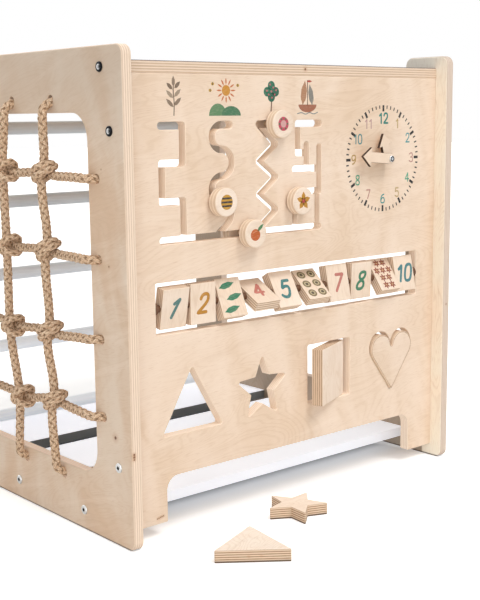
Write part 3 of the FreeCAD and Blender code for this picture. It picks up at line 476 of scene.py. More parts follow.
# %% [markdown]
# ## Building finishes from nodes
# Every finish is procedural: no picture is read. A few short helpers lay out the nodes, so
# that each finish below reads as a recipe: at and faces ask where a point lies and which way
# it faces, step makes a share of a number, and stain lays a colour over another by that share.
# Patterns sit on Object coordinates, which are metres here, so a scale of 100 means a detail
# of about a centimetre.

# %% Helpers for finishes
X_WAY, Y_WAY, Z_WAY = (1, 0, 0), (0, 1, 0), (0, 0, 1)


def shade(code):
    """A colour from its usual six-digit code, as linear light."""
    parts = [int(code[i:i + 2], 16) / 255 for i in (0, 2, 4)]
    lit = [c / 12.92 if c <= 0.04045 else ((c + 0.055) / 1.055) ** 2.4 for c in parts]
    return (*lit, 1.0)


def feed(tree, socket, value):
    """Links a socket, or sets its value."""
    if isinstance(value, bpy.types.NodeSocket):
        tree.links.new(value, socket)
    else:
        socket.default_value = value


def add_node(tree, kind, output, inputs=(), **settings):
    """Lays out one node, its settings and its inputs, and gives one of its outputs."""
    node = tree.nodes.new("ShaderNode" + kind)
    for name, value in settings.items():
        setattr(node, name, value)
    for socket, value in dict(inputs).items():
        feed(tree, node.inputs[socket], value)
    return node.outputs[output]


class Finish:
    """A material whose nodes are laid out by short calls."""

    def __init__(self, name, roughness=0.6, metallic=0.0):
        self.material = bpy.data.materials.new(name)
        self.material.use_nodes = True
        self.tree = self.material.node_tree
        self.skin("Roughness", roughness)
        self.skin("Metallic", metallic)
        self.where = self.node("TexCoord", "Object")
        self.facing = self.node("TexCoord", "Normal")

    def node(self, kind, output, inputs=(), **settings):
        return add_node(self.tree, kind, output, inputs, **settings)

    def skin(self, socket, value):
        """Gives the shader one of its values."""
        feed(self.tree, self.tree.nodes["Principled BSDF"].inputs[socket], value)

    def colour(self, value):
        self.skin("Base Color", value)

    def math(self, operation, a, b=0.0):
        return self.node("Math", 0, {0: a, 1: b}, operation=operation)

    def times(self, a, b):
        return self.math("MULTIPLY", a, b)

    def plus(self, a, b):
        return self.math("ADD", a, b)

    def compare(self, operation, a, b):
        return self.node("VectorMath", "Value", {0: a, 1: b}, operation=operation)

    def at(self, way):
        """How far a point of the surface lies along a direction."""
        return self.compare("DOT_PRODUCT", self.where, way)

    def faces(self, way):
        """How far the surface faces along a direction."""
        return self.compare("DOT_PRODUCT", self.facing, way)

    def vector(self, x, y, z):
        return self.node("CombineXYZ", 0, {0: x, 1: y, 2: z})

    def stretched(self, x, y, z):
        """The object's coordinates, each stretched by its own factor."""
        return self.vector(self.times(self.at(X_WAY), x), self.times(self.at(Y_WAY), y),
                           self.times(self.at(Z_WAY), z))

    def noise(self, place, scale, detail=2.0, distortion=0.0):
        return self.node("TexNoise", "Fac", {"Vector": place, "Scale": scale,
                                             "Detail": detail, "Distortion": distortion})

    def step(self, value, low, high):
        """0 below low, 1 above high, and smooth between."""
        return self.node("MapRange", "Result",
                         {"Value": value, "From Min": low, "From Max": high},
                         interpolation_type="SMOOTHSTEP")

    def mix(self, share, a, b):
        return self.node("Mix", "Result", {"Factor": share, "A": a, "B": b}, data_type="RGBA")

    def stain(self, under, code, share, amount=1.0):
        """A colour laid over another by a share, and never by more than the amount."""
        share = share if amount == 1.0 else self.times(share, amount)
        return self.mix(share, under, shade(code))

    def bump(self, height, distance, strength):
        self.skin("Normal", self.node("Bump", "Normal", {
            "Strength": strength, "Distance": distance, "Height": height}))


def dress(data, *materials):
    """Gives a mesh its finish."""
    data.materials.clear()
    for material in materials:
        data.materials.append(material)


def dress_node(node, material):
    """Gives a piece of the frame its finish."""
    dress(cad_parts[node].data, material)


print("finish helpers ready")

# %% [markdown]
# ## Jute
# Jute is a golden-brown bast fibre with a dry, hairy look. Its strands get pale painted
# highlights where they bulge, and painted shade darkens the gaps between them. The crown
# attribute gives the gaps, the UV map gives long fibres that twist round each strand, and a
# broad noise keeps one stretch of rope from looking like the next.

# %% The jute finish
def jute_finish():
    f = Finish("jute", roughness=0.85)
    out = f.node("Attribute", "Fac", attribute_name="crown")
    unwrap = f.node("UVMap", "UV", uv_map="yarns")
    around, along = (f.node("SeparateXYZ", axis, {0: unwrap}) for axis in (0, 1))
    twisted = f.plus(around, f.times(along, 2.0))
    fibres = f.noise(f.vector(f.times(twisted, 34.0), f.times(along, 9.0), 0.0), 1.0, detail=4.0)
    flecks = f.noise(f.where, 520.0, detail=3.0)
    yarn = f.math("ABSOLUTE", f.math("SINE", f.times(twisted, math.pi * 5)))
    outwards = f.math("COSINE", f.times(around, 2 * math.pi))
    body = f.mix(f.step(fibres, 0.32, 0.68), shade("C9A280"), shade("F4D9BA"))
    body = f.stain(body, "DDB793", f.step(f.noise(f.where, 30.0), 0.4, 0.7), 0.35)
    # Painted highlights: pale flecks on the crowns of the strands.
    painted_highlight = f.times(f.step(flecks, 0.52, 0.7), f.step(out, 0.78, 0.98))
    body = f.stain(body, "FFF0D8", painted_highlight, 0.85)
    body = f.stain(body, "9A7250", f.step(flecks, 0.42, 0.3), 0.55)
    # Painted shade: the strands' sides, the gaps between them and the grooves between the yarns
    # are darker.
    body = f.stain(body, "7A5939", f.step(outwards, 0.88, 0.3), 0.72)
    body = f.stain(body, "8E6A48", f.step(out, 0.80, 0.6), 0.5)
    f.colour(f.stain(body, "8F6B49", f.math("SUBTRACT", 1.0, yarn), 0.35))
    height = f.plus(f.times(fibres, 0.6), f.times(flecks, 0.3))
    f.bump(f.plus(height, f.times(yarn, 0.25)), 1.1 * MM, 0.9)
    return f.material


jute = jute_finish()
jute_pieces = uprights + levels + net_knots + stoppers
for piece in jute_pieces:
    dress(piece.data, jute)
print("jute on", len(jute_pieces), "pieces")

# %% [markdown]
# ## Loose fibres
# Real jute rope is hairy: short fibres stand off everywhere. A hair system would be baked
# away, so one fibre is modelled, a thin three-sided spike drawn out in three bent steps, and
# its points are set down a few thousand times on the ropes in one mesh. Each copy leans
# its own way.

# %% Model one fibre
FIBRE_BENDS = [(0.03, 0.35, 0.85), (0.12, 0.3, 0.75), (0.22, 0.22, 0.5)]
fibre_kind = begin(bpy.ops.mesh.primitive_circle_add, vertices=3, radius=0.035,
                   fill_type="NGON")
editing(True)
for bend, rise, taper in FIBRE_BENDS:
    bpy.ops.mesh.extrude_region_move(TRANSFORM_OT_translate={"value": (bend, 0, rise)})
    bpy.ops.transform.resize(value=(taper, taper, taper))
editing(False)
fibre_points = [v.co.copy() for v in fibre_kind.data.vertices]
fibre_faces = [tuple(p.vertices) for p in fibre_kind.data.polygons]
bpy.data.objects.remove(fibre_kind)
print("points and faces of one fibre:", len(fibre_points), len(fibre_faces))

# %% Set the fibres on the ropes
FIBRES_ON_ROPE, FIBRES_ON_KNOT, FIBRE_THICK = 190, 60, 5.5 * MM
FIBRE_SHORT, FIBRE_LONG, FIBRE_SUNK = 2.0 * MM, 6.5 * MM, 0.3 * MM
fuzz_points, fuzz_faces = [], []


def fibres_on(piece, count):
    """Fibres that start on random faces of a piece and lean away from it."""
    polygons = piece.data.polygons
    for _ in range(count):
        face = polygons[draw.randrange(len(polygons))]
        jitter = Vector([draw.uniform(-1, 1) for _ in range(3)])
        way = (face.normal + jitter * 0.8).normalized()
        length = draw.uniform(FIBRE_SHORT, FIBRE_LONG)
        thick = FIBRE_THICK * draw.uniform(0.8, 1.3)
        place = Matrix.Translation(face.center - face.normal * FIBRE_SUNK)
        place = place @ way.to_track_quat("Z", "Y").to_matrix().to_4x4()
        place = place @ Matrix.Rotation(draw.uniform(0, 6.28), 4, "Z")
        place = place @ Matrix.Diagonal((thick, thick, length, 1.0))
        base = len(fuzz_points)
        fuzz_points.extend(place @ point for point in fibre_points)
        fuzz_faces.extend(tuple(base + v for v in corners) for corners in fibre_faces)


for piece in uprights + levels:
    fibres_on(piece, FIBRES_ON_ROPE)
for piece in net_knots:
    fibres_on(piece, FIBRES_ON_KNOT)
fuzz_data = bpy.data.meshes.new("rope_fibres")
fuzz_data.from_pydata(fuzz_points, [], fuzz_faces)
fuzz = object_of("rope_fibres", fuzz_data)
f = Finish("loose_fibre", roughness=0.8)
f.colour(f.mix(f.noise(f.where, 60.0), shade("C09A6C"), shade("EED9B4")))
fuzz.data.materials.append(f.material)
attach(fuzz, "cube")
print("faces in the loose fibres:", len(fuzz.data.polygons))

# %% [markdown]
# ## Birch plywood
# The boards are birch plywood under a clear matt varnish. Three things make it look real:
# the flame of the peeled veneer, a soft arched figure with fine short pores, the layers that
# show on every cut edge, and the rounded rims where the layers run out in pale lines.
# The finish compares the surface's direction with the board's thickness. Where they agree it
# paints the veneer, elsewhere the layers, which it counts through the board's thickness.
# It is one recipe with a few numbers, so each board gets its own grain.
# Marks and painted light and shade are laid over it at fixed places: knots and small marks
# (spots, with the size of each last), painted shade along the feet, on a browner face inside
# the cube and on a greyer top, and painted light, a faint glow, on the edges that face up.

# %% The plywood recipe
BOARD = 18 * MM
INSIDE_FROM, INSIDE_BELOW = spot(0, 44, 0).y, 720 * MM
# How high the painted shade along the bottom edge reaches, and where it is full.
FOOT_SHADE_TOP, FOOT_SHADE_FULL = 4.2 * MM, 1.8 * MM


def plywood(name, across, centre, grain, thickness=BOARD, layers=9, pale="EBD4BE", warm="DFC4AA",
            figure=0.4, cut="F3DFC9", line="C39F80", line_strength=0.5, shift=0.0, spots=(),
            inside_shade=0.0, top_shade=0.0, painted_glow=0.0):
    """across is the thickness direction, centre a point in mid-thickness, grain the veneer's."""
    f = Finish(name, roughness=0.55)
    across, grain = Vector(across).normalized(), Vector(grain).normalized()
    depth = f.plus(f.at(across), -Vector(centre).dot(across))
    along, sideways = f.at(grain), f.at(across.cross(grain))
    on_edge = f.step(f.math("ABSOLUTE", f.faces(across)), 0.86, 0.64)
    sheet = f.plus(f.times(depth, 40.0), shift)

    def pattern(long, wide, detail, distortion=0.0):
        """A noise drawn out along the grain."""
        return f.noise(f.vector(f.times(along, long), f.times(sideways, wide), sheet), 1.0,
                       detail, distortion)

    arches = f.math("SINE", f.times(pattern(2.6, 9.0, 2.5, 0.5), 260.0))
    flame = pattern(9.0, 4.0, 3.0, 0.8)
    pores, streak = pattern(60.0, 900.0, 2.0), pattern(5.0, 70.0, 2.0)
    veneer = f.mix(f.step(flame, 0.3, 0.72), shade(pale), shade(warm))
    lines = f.times(f.step(arches, 0.1, 1.0), f.step(flame, 0.3, 0.6))
    veneer = f.stain(veneer, "D3B596", lines, figure)
    veneer = f.stain(veneer, "CFB195", f.step(streak, 0.55, 0.75), 0.18)
    veneer = f.stain(veneer, "F6E4D2", f.step(streak, 0.45, 0.3), 0.16)
    veneer = f.stain(veneer, "C7A484", f.step(pores, 0.55, 0.75), 0.35)
    # Painted shade: the face inside the cube is browner, as if in the cube's shade.
    if inside_shade:
        inside = f.times(f.step(f.at(Y_WAY), INSIDE_FROM, INSIDE_FROM + 4 * MM),
                         f.step(f.at(Z_WAY), INSIDE_BELOW, INSIDE_BELOW - 10 * MM))
        inside = f.times(inside, f.step(f.faces(across), -0.5, -0.9))
        veneer = f.stain(veneer, "7E6349", inside, inside_shade)
    # Painted shade: greyer towards the top.
    if top_shade:
        veneer = f.stain(veneer, "B3A595", f.step(f.at(Z_WAY), 0.56, 0.74), top_shade)

    waver = f.times(f.math("SUBTRACT", f.noise(f.where, 35.0), 0.5), 0.3)
    count = f.plus(f.times(depth, layers / thickness), layers / 2 + 40.0)
    turn = f.math("PINGPONG", f.plus(count, waver), 1.0)
    fresh = f.noise(f.vector(f.times(along, 90.0), f.times(sideways, 90.0),
                             f.times(depth, 900.0)), 1.0, detail=3.0)
    band = f.times(f.step(turn, 0.35, 0.75), f.plus(0.55, f.times(fresh, 0.8)))
    layer = f.mix(f.times(band, line_strength), shade(cut), shade(line))
    glue = f.step(f.math("ABSOLUTE", f.math("SUBTRACT", turn, 0.5)), 0.16, 0.02)
    layer = f.stain(layer, "9A744F", glue, line_strength * 0.55)
    layer = f.stain(layer, "A8825C", f.step(fresh, 0.62, 0.8), 0.25)

    wood = f.mix(on_edge, veneer, layer)
    ragged = f.noise(f.where, 160.0) if spots else None
    for x, y, z, size in spots:
        size *= MM
        gap = f.compare("DISTANCE", f.where, spot(x, y, z))
        gap = f.plus(gap, f.times(ragged, 0.6 * size))
        wood = f.stain(wood, "C0926A", f.step(gap, 3.2 * size, 0.8 * size), 0.4)
        wood = f.stain(wood, "6E452B", f.step(gap, 1.3 * size, 0.6 * size))
    # Painted shade: darker along the lowest few millimetres, where the board meets the floor.
    f.colour(f.stain(wood, "4A3628", f.step(f.at(Z_WAY), FOOT_SHADE_TOP, FOOT_SHADE_FULL), 0.85))
    # Painted light: edges that face up glow faintly.
    if painted_glow:
        f.skin("Emission Color", (1.0, 0.80, 0.66, 1.0))
        f.skin("Emission Strength",
               f.times(f.times(on_edge, f.step(f.faces(Z_WAY), 0.6, 0.95)), painted_glow))
    f.skin("Roughness", f.plus(0.5, f.times(f.plus(pores, on_edge), 0.12)))
    f.bump(f.plus(f.times(pores, -0.4), f.times(fresh, 0.25)), 0.25 * MM, 0.35)
    return f.material


print("plywood recipe ready, boards", BOARD, "m thick")

# %% Dress the boards
SIDE_FACE, FRONT_FACE, TOP = 0, 26, 731
FRONT_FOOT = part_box("front_panel")[0].z / MM
foot_crack = [(63 + 3 * k, FRONT_FACE, FRONT_FOOT + 9.2 + 0.6 * k, size)
              for k, size in enumerate((1.4, 1.6, 1.7, 1.7, 1.5))]
# The left side gets painted shade that greys its top and painted light, a faint glow, on edges
# that face up.
dress_node("left_side_panel", plywood(
    "birch_ply_left", X_WAY, spot(9, 0, 0), (0, 1, -0.3), shift=3.1, pale="E3CFBA",
    warm="D8B99C", figure=0.42, cut="F2DDC8", line="C9AB90", line_strength=0.6, top_shade=0.4,
    painted_glow=0.22, spots=[(SIDE_FACE, 43, 173, 4.1), (SIDE_FACE, 47, 436, 1.8), (4, 0, 147, 2.0),
                      (4, 0, 151, 2.5), (4, 0, 155, 2.2), (SIDE_FACE, 60, 580, 1.2)]))
# The right side's face inside the cube is painted browner: painted shade.
dress_node("right_side_panel", plywood(
    "birch_ply_right", X_WAY, spot(729, 0, 0), Z_WAY, shift=8.4, pale="FFF6E4", warm="FFEFDA",
    figure=0.2, cut="DFCEBF", line="BC9F86", inside_shade=0.72, spots=[(729, 0, 300, 1.6)]))
dress_node("front_panel", plywood(
    "birch_ply_front", Y_WAY, spot(0, 35, 0), (1, 0, 0.12), shift=5.2, pale="ECD6C1",
    warm="E1C7AD", figure=0.3, cut="FFECD8", line="DDBD9D", line_strength=0.4,
    spots=[(268, FRONT_FACE, 222, 1.2), (120, FRONT_FACE, 340, 0.9), *foot_crack]))
dress_node("top_board", plywood(
    "birch_ply_top", Z_WAY, spot(0, 0, 729), X_WAY, shift=1.7, cut="EAD4BE", line="BB9878",
    line_strength=0.7, spots=[(386, FRONT_FACE, TOP, 2.8)]))
print("plywood boards dressed")

# %% [markdown]
# ## Loose pieces, blocks and knobs
# The sorting pieces and number blocks are cut from thicker plywood, and their sawn sides are
# left raw: the dark layers are much stronger there than on the rounded boards. Each piece
# stands at its own angle, so its thickness direction is given to the same recipe.
# The knobs are turned from the same stock and show only faint layers.

# %% Dress the sorting pieces
def middle_of(node):
    """The middle of a node's box."""
    low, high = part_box(node)
    return (low + high) / 2


SQUARE_TURN = math.radians(23.7)
square_way = (-math.sin(SQUARE_TURN), math.cos(SQUARE_TURN), 0)
RAW = {"thickness": 20 * MM, "layers": 11, "cut": "E8D0B6", "line": "A27C5A", "figure": 0.25}
DOTS = {"triangle_piece": [(104.8, -144.3, 9.5, 1.5), (119.6, -156.0, 10.0, 1.4)]}
for node, way, grain, shift, pale, warm, strength in [
        ("heart_piece", Y_WAY, (1, 0, 0.1), 2.2, "EAD4BF", "DEC5AC", 0.3),
        ("square_piece", square_way, Z_WAY, 6.1, "F3E2D2", "EAD5C1", 0.9),
        ("triangle_piece", Z_WAY, (1, 0.4, 0), 7.7, "FFF4E6", "FCE9D6", 0.9),
        ("star_piece", Z_WAY, (1, -0.2, 0), 9.3, "FCEDDC", "F6DFC9", 0.9)]:
    dress_node(node, plywood(f"raw_ply_{node}", way, middle_of(node), grain, shift=shift,
                             pale=pale, warm=warm, line_strength=strength,
                             spots=DOTS.get(node, ()), **RAW))
print("sorting pieces dressed")

# %% [markdown]
# ## Painted shade round the heart's edge
# A thin brown ring round the heart's front edge is painted shade, the dark line of the gap
# round it. A material alone can't find an outline, so the edge is a thin flat ring: the
# heart's front face is copied, inset by the ring's width, and its middle deleted.

# %% Paint shade round the heart's edge
RIM_WIDTH, RIM_PROUD, RIM_REACH = 1.1 * MM, 0.06 * MM, 0.02 * MM
heart_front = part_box("heart_piece")[0].y
bpy.ops.object.select_all(action="DESELECT")
heart_outline_shade = copy_of(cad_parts["heart_piece"], "heart_rubbed_edge")
bpy.context.view_layer.objects.active = heart_outline_shade
heart_outline_shade.select_set(True)
editing(True, "DESELECT")
mesh = bmesh.from_edit_mesh(heart_outline_shade.data)
for face in mesh.faces:
    face.select_set(all(v.co.y < heart_front + RIM_REACH for v in face.verts))
mesh.select_flush_mode()
bmesh.update_edit_mesh(heart_outline_shade.data)
bpy.ops.mesh.select_all(action="INVERT")
bpy.ops.mesh.delete(type="FACE")
bpy.ops.mesh.select_all(action="SELECT")
bpy.ops.mesh.remove_doubles(threshold=0.01 * MM)
bpy.ops.mesh.dissolve_limited(angle_limit=0.02)
bpy.ops.mesh.inset(thickness=RIM_WIDTH)
bpy.ops.mesh.delete(type="FACE")
bpy.ops.mesh.select_all(action="SELECT")
bpy.ops.transform.translate(value=(0, -RIM_PROUD, 0))
editing(False)
# Painted shade: the ring is brown, a line of shade round the heart.
f = Finish("painted_outline_shade", roughness=0.7)
f.colour(f.mix(f.noise(f.where, 90.0), shade("AD8763"), shade("C8A483")))
dress(heart_outline_shade.data, f.material)
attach(heart_outline_shade, "heart_piece")
print("faces of the heart's rubbed edge:", len(heart_outline_shade.data.polygons))

# %% Dress the number blocks
BLOCK_PLACES = [106.0, 162.4, 220.8, 281.6, 339.9, 403.1, 465.7, 523.7, 585.8, 638.9]
BLOCK_TILTS = [-10.8, -0.3, 22.4, 61.4, 29.7, 46.8, 12.1, -2.6, 35.1, 11.6]
ROD_Y, ROD_Z = 35.0, 364.3


def block_turn(number):
    """The turn of a block about the rod."""
    return Matrix.Rotation(math.radians(-BLOCK_TILTS[number]), 4, "X")


for number, x in enumerate(BLOCK_PLACES):
    turn = block_turn(number)
    dress_node(f"number_block_{number + 1}", plywood(
        f"block_ply_{number + 1}", turn @ Vector(Y_WAY), spot(x, ROD_Y, ROD_Z),
        turn @ Vector(Z_WAY), line="B28B68", line_strength=0.8, pale="F0DDCA",
        warm="E5CDB5", figure=0.25, shift=2.3 * number + 0.4))
print("number blocks dressed:", len(BLOCK_PLACES))

# %% Dress the knobs
KNOBS = {"wave": 0.6, "zigzag": 3.5, "grid": 6.2, "floor": 9.9}
for knob, shift in KNOBS.items():
    for part, number in (("disc", 0.0), ("rear", 1.3), ("axle", 2.1)):
        node = f"{knob}_knob_{part}"
        dress_node(node, plywood(
            f"turned_ply_{knob}_{part}", Y_WAY, middle_of(node), (1, 0, 0.2), layers=5,
            line="CFAE8B", line_strength=0.55, pale="F0DDCB", warm="E6D0BA", figure=0.25,
            shift=shift + number))
print("knobs dressed:", len(KNOBS))

# %% [markdown]
# ## Clock hands
# The hands are cut by laser: their faces stay pale and their cut sides are burnt dark brown.
# The side is found by its direction, and a thin scorched line creeps onto the face's rim.

# %% The laser-cut finish
def burnt_finish(name, shift):
    f = Finish(name, roughness=0.6)
    face = f.math("ABSOLUTE", f.faces(Y_WAY))
    pores = f.noise(f.vector(f.times(f.at(X_WAY), 90.0), shift, f.times(f.at(Z_WAY), 600.0)),
                    1.0)
    wood = f.mix(f.noise(f.where, 40.0), shade("F0DBC6"), shade("E2C8AF"))
    wood = f.stain(wood, "C8A67F", f.step(pores, 0.6, 0.8), 0.3)
    wood = f.stain(wood, "8E6748", f.step(face, 0.97, 0.8), 0.5)
    char = f.mix(f.noise(f.where, 300.0), shade("2A1A12"), shade("4A3122"))
    f.colour(f.mix(f.step(face, 0.75, 0.45), wood, char))
    f.bump(pores, 0.2 * MM, 0.3)
    return f.material


dress_node("hour_hand", burnt_finish("burnt_ply_hour", 4.0))
dress_node("minute_hand", burnt_finish("burnt_ply_minute", 7.0))
print("hands dressed")

# %% [markdown]
# ## Painted boards and rungs
# The floor boards are painted white and the rungs a very pale grey. Paint over wood is never
# dead flat: it keeps a faint brush line and a slight wave from the wood below, and that is
# what a low bump along the board gives. The paint also glows faintly, a painted light, more
# on faces that look up. The rear board's front edge is painted dark grey, a painted shade,
# where it is seen between the two boards, and the lower a rung, the more it glows, again
# painted light.

# %% The paint recipe
# Painted light: the colour of the paint's glow, and how much each rung glows, lowest first.
PAINT_GLOW = (0.91, 0.94, 1.0, 1.0)
RUNG_GLOWS = (0.30, 0.24, 0.10, 0.0, 0.0)


def paint(name, code, worn, roughness, top_glow, side_glow, shaded_front=False):
    """White or grey paint; the glows are its painted light on faces that look up and on others,
    and a dark front is painted shade.
    """
    f = Finish(name, roughness=roughness)
    strokes = f.noise(f.stretched(6.0, 260.0, 260.0), 1.0)
    tone = f.plus(f.times(strokes, 0.5), f.times(f.noise(f.where, 7.0), 0.5))
    colour = f.mix(f.step(tone, 0.35, 0.7), shade(code), shade(worn))
    painted_glow = side_glow
    if top_glow != side_glow:
        up = f.step(f.faces(Z_WAY), 0.5, 0.9)
        painted_glow = f.plus(side_glow, f.times(up, top_glow - side_glow))
    # Painted shade: faces that look forward are painted dark grey and don't glow.
    if shaded_front:
        front = f.step(f.faces(Y_WAY), -0.5, -0.9)
        colour = f.stain(colour, "7C8182", front)
        painted_glow = f.times(painted_glow, f.math("SUBTRACT", 1.0, front))
    # Painted light: the paint glows by the amounts above.
    f.colour(colour)
    f.skin("Emission Color", PAINT_GLOW)
    f.skin("Emission Strength", painted_glow)
    f.bump(strokes, 0.2 * MM, 0.4)
    return f.material


dress_node("floor_slat_front", paint("white_paint", "F4F7FF", "E2E6EE", 0.42, 0.46, 0.30))
# The rear board's front edge gets painted shade.
dress_node("floor_slat_rear",
           paint("white_paint_rear", "F2F5FF", "E2E6F2", 0.42, 0.42, 0.10, shaded_front=True))
rungs = sorted((f"rung_{i + 1}" for i in range(5)), key=lambda rung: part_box(rung)[0].z)
# Painted light: the lower a rung, the more it glows.
for rung, painted_glow in zip(rungs, RUNG_GLOWS):
    dress_node(rung, paint(f"pale_grey_paint_{rung}", "DCE2E6", "CDD3D8", 0.45, painted_glow, painted_glow))
print("painted boards and rungs:", 2 + len(rungs))

# %% [markdown]
# ## Dark film and rod
# The top board carries a thin dark sheet to draw on, which keeps a trace of chalk dust. The
# rod of the number blocks and its collars are stained dark brown.

# %% Film and rod finishes
f = Finish("dark_film")
dust = f.noise(f.where, 9.0, detail=5.0, distortion=1.2)
f.colour(f.mix(f.step(dust, 0.5, 0.85), shade("2E2A3E"), shade("4B485B")))
f.skin("Roughness", f.plus(0.42, f.times(dust, 0.3)))
f.bump(f.noise(f.where, 700.0), 0.06 * MM, 0.5)
dress_node("top_film", f.material)

f = Finish("dark_rod", roughness=0.5)
rings = f.noise(f.stretched(20.0, 500.0, 500.0), 1.0)
f.colour(f.mix(rings, shade("4A2E1C"), shade("7A5236")))
f.bump(rings, 0.2 * MM, 0.4)
dress_node("number_rod", f.material)
dress_node("rod_collars", f.material)
print("film and rod dressed")

# %% [markdown]
# ## Bolts and screws
# A bolt's head is a few pixels wide, and what the eye finds there is its socket: a dark dot,
# painted shade in the hollow, in the bright zinc ones, and a bright crescent, a painted
# reflection of the light from behind, in the black ones. Both are painted on the heads' outer
# ends, round the axes of the bolts. The clock's screw has a dark ring instead.

# %% Metal finishes
BLACK_PLACES = [(56, 729), (698, 729), (35, 636)]
SILVER_PLACES = [(35, 127), (137, 33.7), (344, 33.7), (551, 33.7), (636, 33.7)]
HEAD_END, BLUR = 368.5 * MM, 0.5 * MM
SOCKET_RADIUS, CRESCENT_RADIUS, CRESCENT_INNER, CRESCENT_SHIFT = (
    c * MM for c in (2.7, 3.8, 2.6, 1.3))
clock_middle = middle_of("clock_screw")


def metal(name, code, cloud, roughness):
    """Plated or blackened steel: the finish, its tone so far and where its heads end."""
    f = Finish(name, metallic=1.0)
    shine = f.noise(f.where, 240.0, detail=3.0)
    f.skin("Roughness", f.plus(roughness, f.times(shine, 0.12)))
    f.bump(shine, 0.1 * MM, 0.3)
    tone = f.mix(f.step(shine, 0.35, 0.7), shade(code), shade(cloud))
    head = f.step(f.math("ABSOLUTE", f.at(X_WAY)), HEAD_END, HEAD_END + BLUR)
    return f, tone, head


def beside(f, y, z):
    """The distance from a bolt's axis."""
    return f.compare("DISTANCE", f.stretched(0.0, 1.0, 1.0), (0.0, y, z))


f, tone, head = metal("black_steel", "26282C", "1A1B1E", 0.25)
for y, z in (spot(0, *place).yz for place in BLACK_PLACES):
    # Painted reflection: a bright crescent in each black bolt's socket.
    painted_reflection = f.times(
        f.step(beside(f, y, z), CRESCENT_RADIUS + 0.4 * MM, CRESCENT_RADIUS),
        f.step(beside(f, y - CRESCENT_SHIFT, z), CRESCENT_INNER, CRESCENT_INNER + 0.4 * MM))
    tone = f.stain(tone, "F2F2F2", f.times(head, painted_reflection))
f.colour(tone)
dress_node("black_bolts", f.material)

f, tone, head = metal("zinc_steel", "EDEFF0", "CFD3D6", 0.24)
for y, z in (spot(0, *place).yz for place in SILVER_PLACES):
    # Painted shade: a dark dot in the hollow of each zinc bolt's socket.
    socket = f.step(beside(f, y, z), SOCKET_RADIUS + 0.6 * MM, SOCKET_RADIUS)
    tone = f.stain(tone, "121316", f.times(head, socket))
gap = f.compare("DISTANCE", f.stretched(1.0, 0.0, 1.0), (clock_middle.x, 0.0, clock_middle.z))
ring = f.times(f.step(gap, 5.2 * MM, 4.6 * MM), f.step(gap, 2.2 * MM, 2.8 * MM))
f.colour(f.stain(tone, "4A4C50", f.times(f.step(f.faces(Y_WAY), -0.5, -0.9), ring)))
for node in ("silver_bolts", "rung_screws", "barrel_nuts", "clock_screw", "clock_spacers",
             "clock_nut"):
    dress_node(node, f.material)
print("metal dressed")

# %% [markdown]
# ## Ink
# The figures are printed on the bare wood in matt ink. Ink soaks in a little, so the grain
# stays faintly visible through it: each ink is its colour, mixed along the grain with some of
# the wood's. One finish is made per colour and used wherever that colour is printed.

# %% Inks
INK, SUNK = 0.14 * MM, 0.03 * MM
INK_DEPTH, WOOD_THROUGH, TICK_INK = 0.68, 0.14, "1B1C20"
inks = {}


def ink(code):
    """The finish of one colour of ink."""
    if code not in inks:
        f = Finish("ink_" + code.lower(), roughness=0.62)
        grain = f.noise(f.stretched(160.0, 900.0, 900.0), 1.0)
        full = [INK_DEPTH * c for c in shade(code)[:3]]
        worn = [c + WOOD_THROUGH * (w - c) for c, w in zip(full, shade("EBD4BE"))]
        f.colour(f.mix(f.step(grain, 0.45, 0.75), (*full, 1.0), (*worn, 1.0)))
        f.bump(grain, 0.1 * MM, 0.3)
        inks[code] = f.material
    return inks[code]


print("ink colour for the dial's ticks:", ink(TICK_INK).name)

# %% [markdown]
# ## Printing shapes
# Every picture is put together from four flat shapes: a dot, a leaf, a bar and a half disc.
# Each is modelled once, one unit across, as a thin slab with a narrow bevelled rim, drawn up
# from a flat outline. The pictures then use copies of it, stretched and turned.

# %% Model the four printing shapes
def drawn_up(shape, rim):
    """Draws a flat outline up to a slab whose top is narrower by the rim."""
    editing(True)
    bpy.ops.mesh.extrude_region_move(TRANSFORM_OT_translate={"value": (0, 0, INK + SUNK)})
    bpy.ops.transform.resize(value=(*rim, 1.0))
    bpy.ops.mesh.select_all(action="SELECT")
    bpy.ops.mesh.normals_make_consistent(inside=False)
    editing(False)
    return shape


def printing_shape(name, corners, pulls=(), cut=False):
    """A thin slab one unit across from a round outline; pulls move single corners."""
    shape = begin(bpy.ops.mesh.primitive_circle_add, vertices=corners, radius=0.5,
                  fill_type="NGON")
    shape.name = name
    if cut:
        editing(True)
        bpy.ops.mesh.bisect(plane_co=(0, 0, 0), plane_no=(0, 1, 0), clear_inner=True)
        editing(False)
    for corner, pull in pulls:
        editing(True, "DESELECT")
        editing(False)
        shape.data.vertices[corner].select = True
        bpy.ops.object.mode_set(mode="EDIT")
        bpy.ops.mesh.select_mode(type="VERT")
        bpy.ops.transform.translate(value=pull)
        editing(False)
    return drawn_up(shape, (0.97, 0.97))


LEAF_PULLS = [(0, (0, 0.22, 0)), (1, (0, 0.05, 0)), (15, (0, 0.05, 0)), (8, (0, -0.16, 0)),
              (4, (0.06, 0, 0)), (12, (-0.06, 0, 0))]
dot_kind = printing_shape("dot_kind", 22)
leaf_kind = printing_shape("leaf_kind", 16, LEAF_PULLS)
half_kind = printing_shape("half_kind", 24, cut=True)
bar_kind = drawn_up(begin(bpy.ops.mesh.primitive_plane_add, size=1.0), (0.96, 0.98))
PRINTING_KINDS = (dot_kind, leaf_kind, half_kind, bar_kind)
print("faces of dot, leaf, half, bar:", [len(kind.data.polygons) for kind in PRINTING_KINDS])

# %% [markdown]
# ## Pen strokes
# Digits and stems are strokes of a pen of one width. A stroke is a NURBS path with a bevel,
# made a mesh and pressed flat; a control point given twice makes a corner. Dots round off its
# ends. Each digit is a short list of control points in a box 0.6 wide and 1 high.

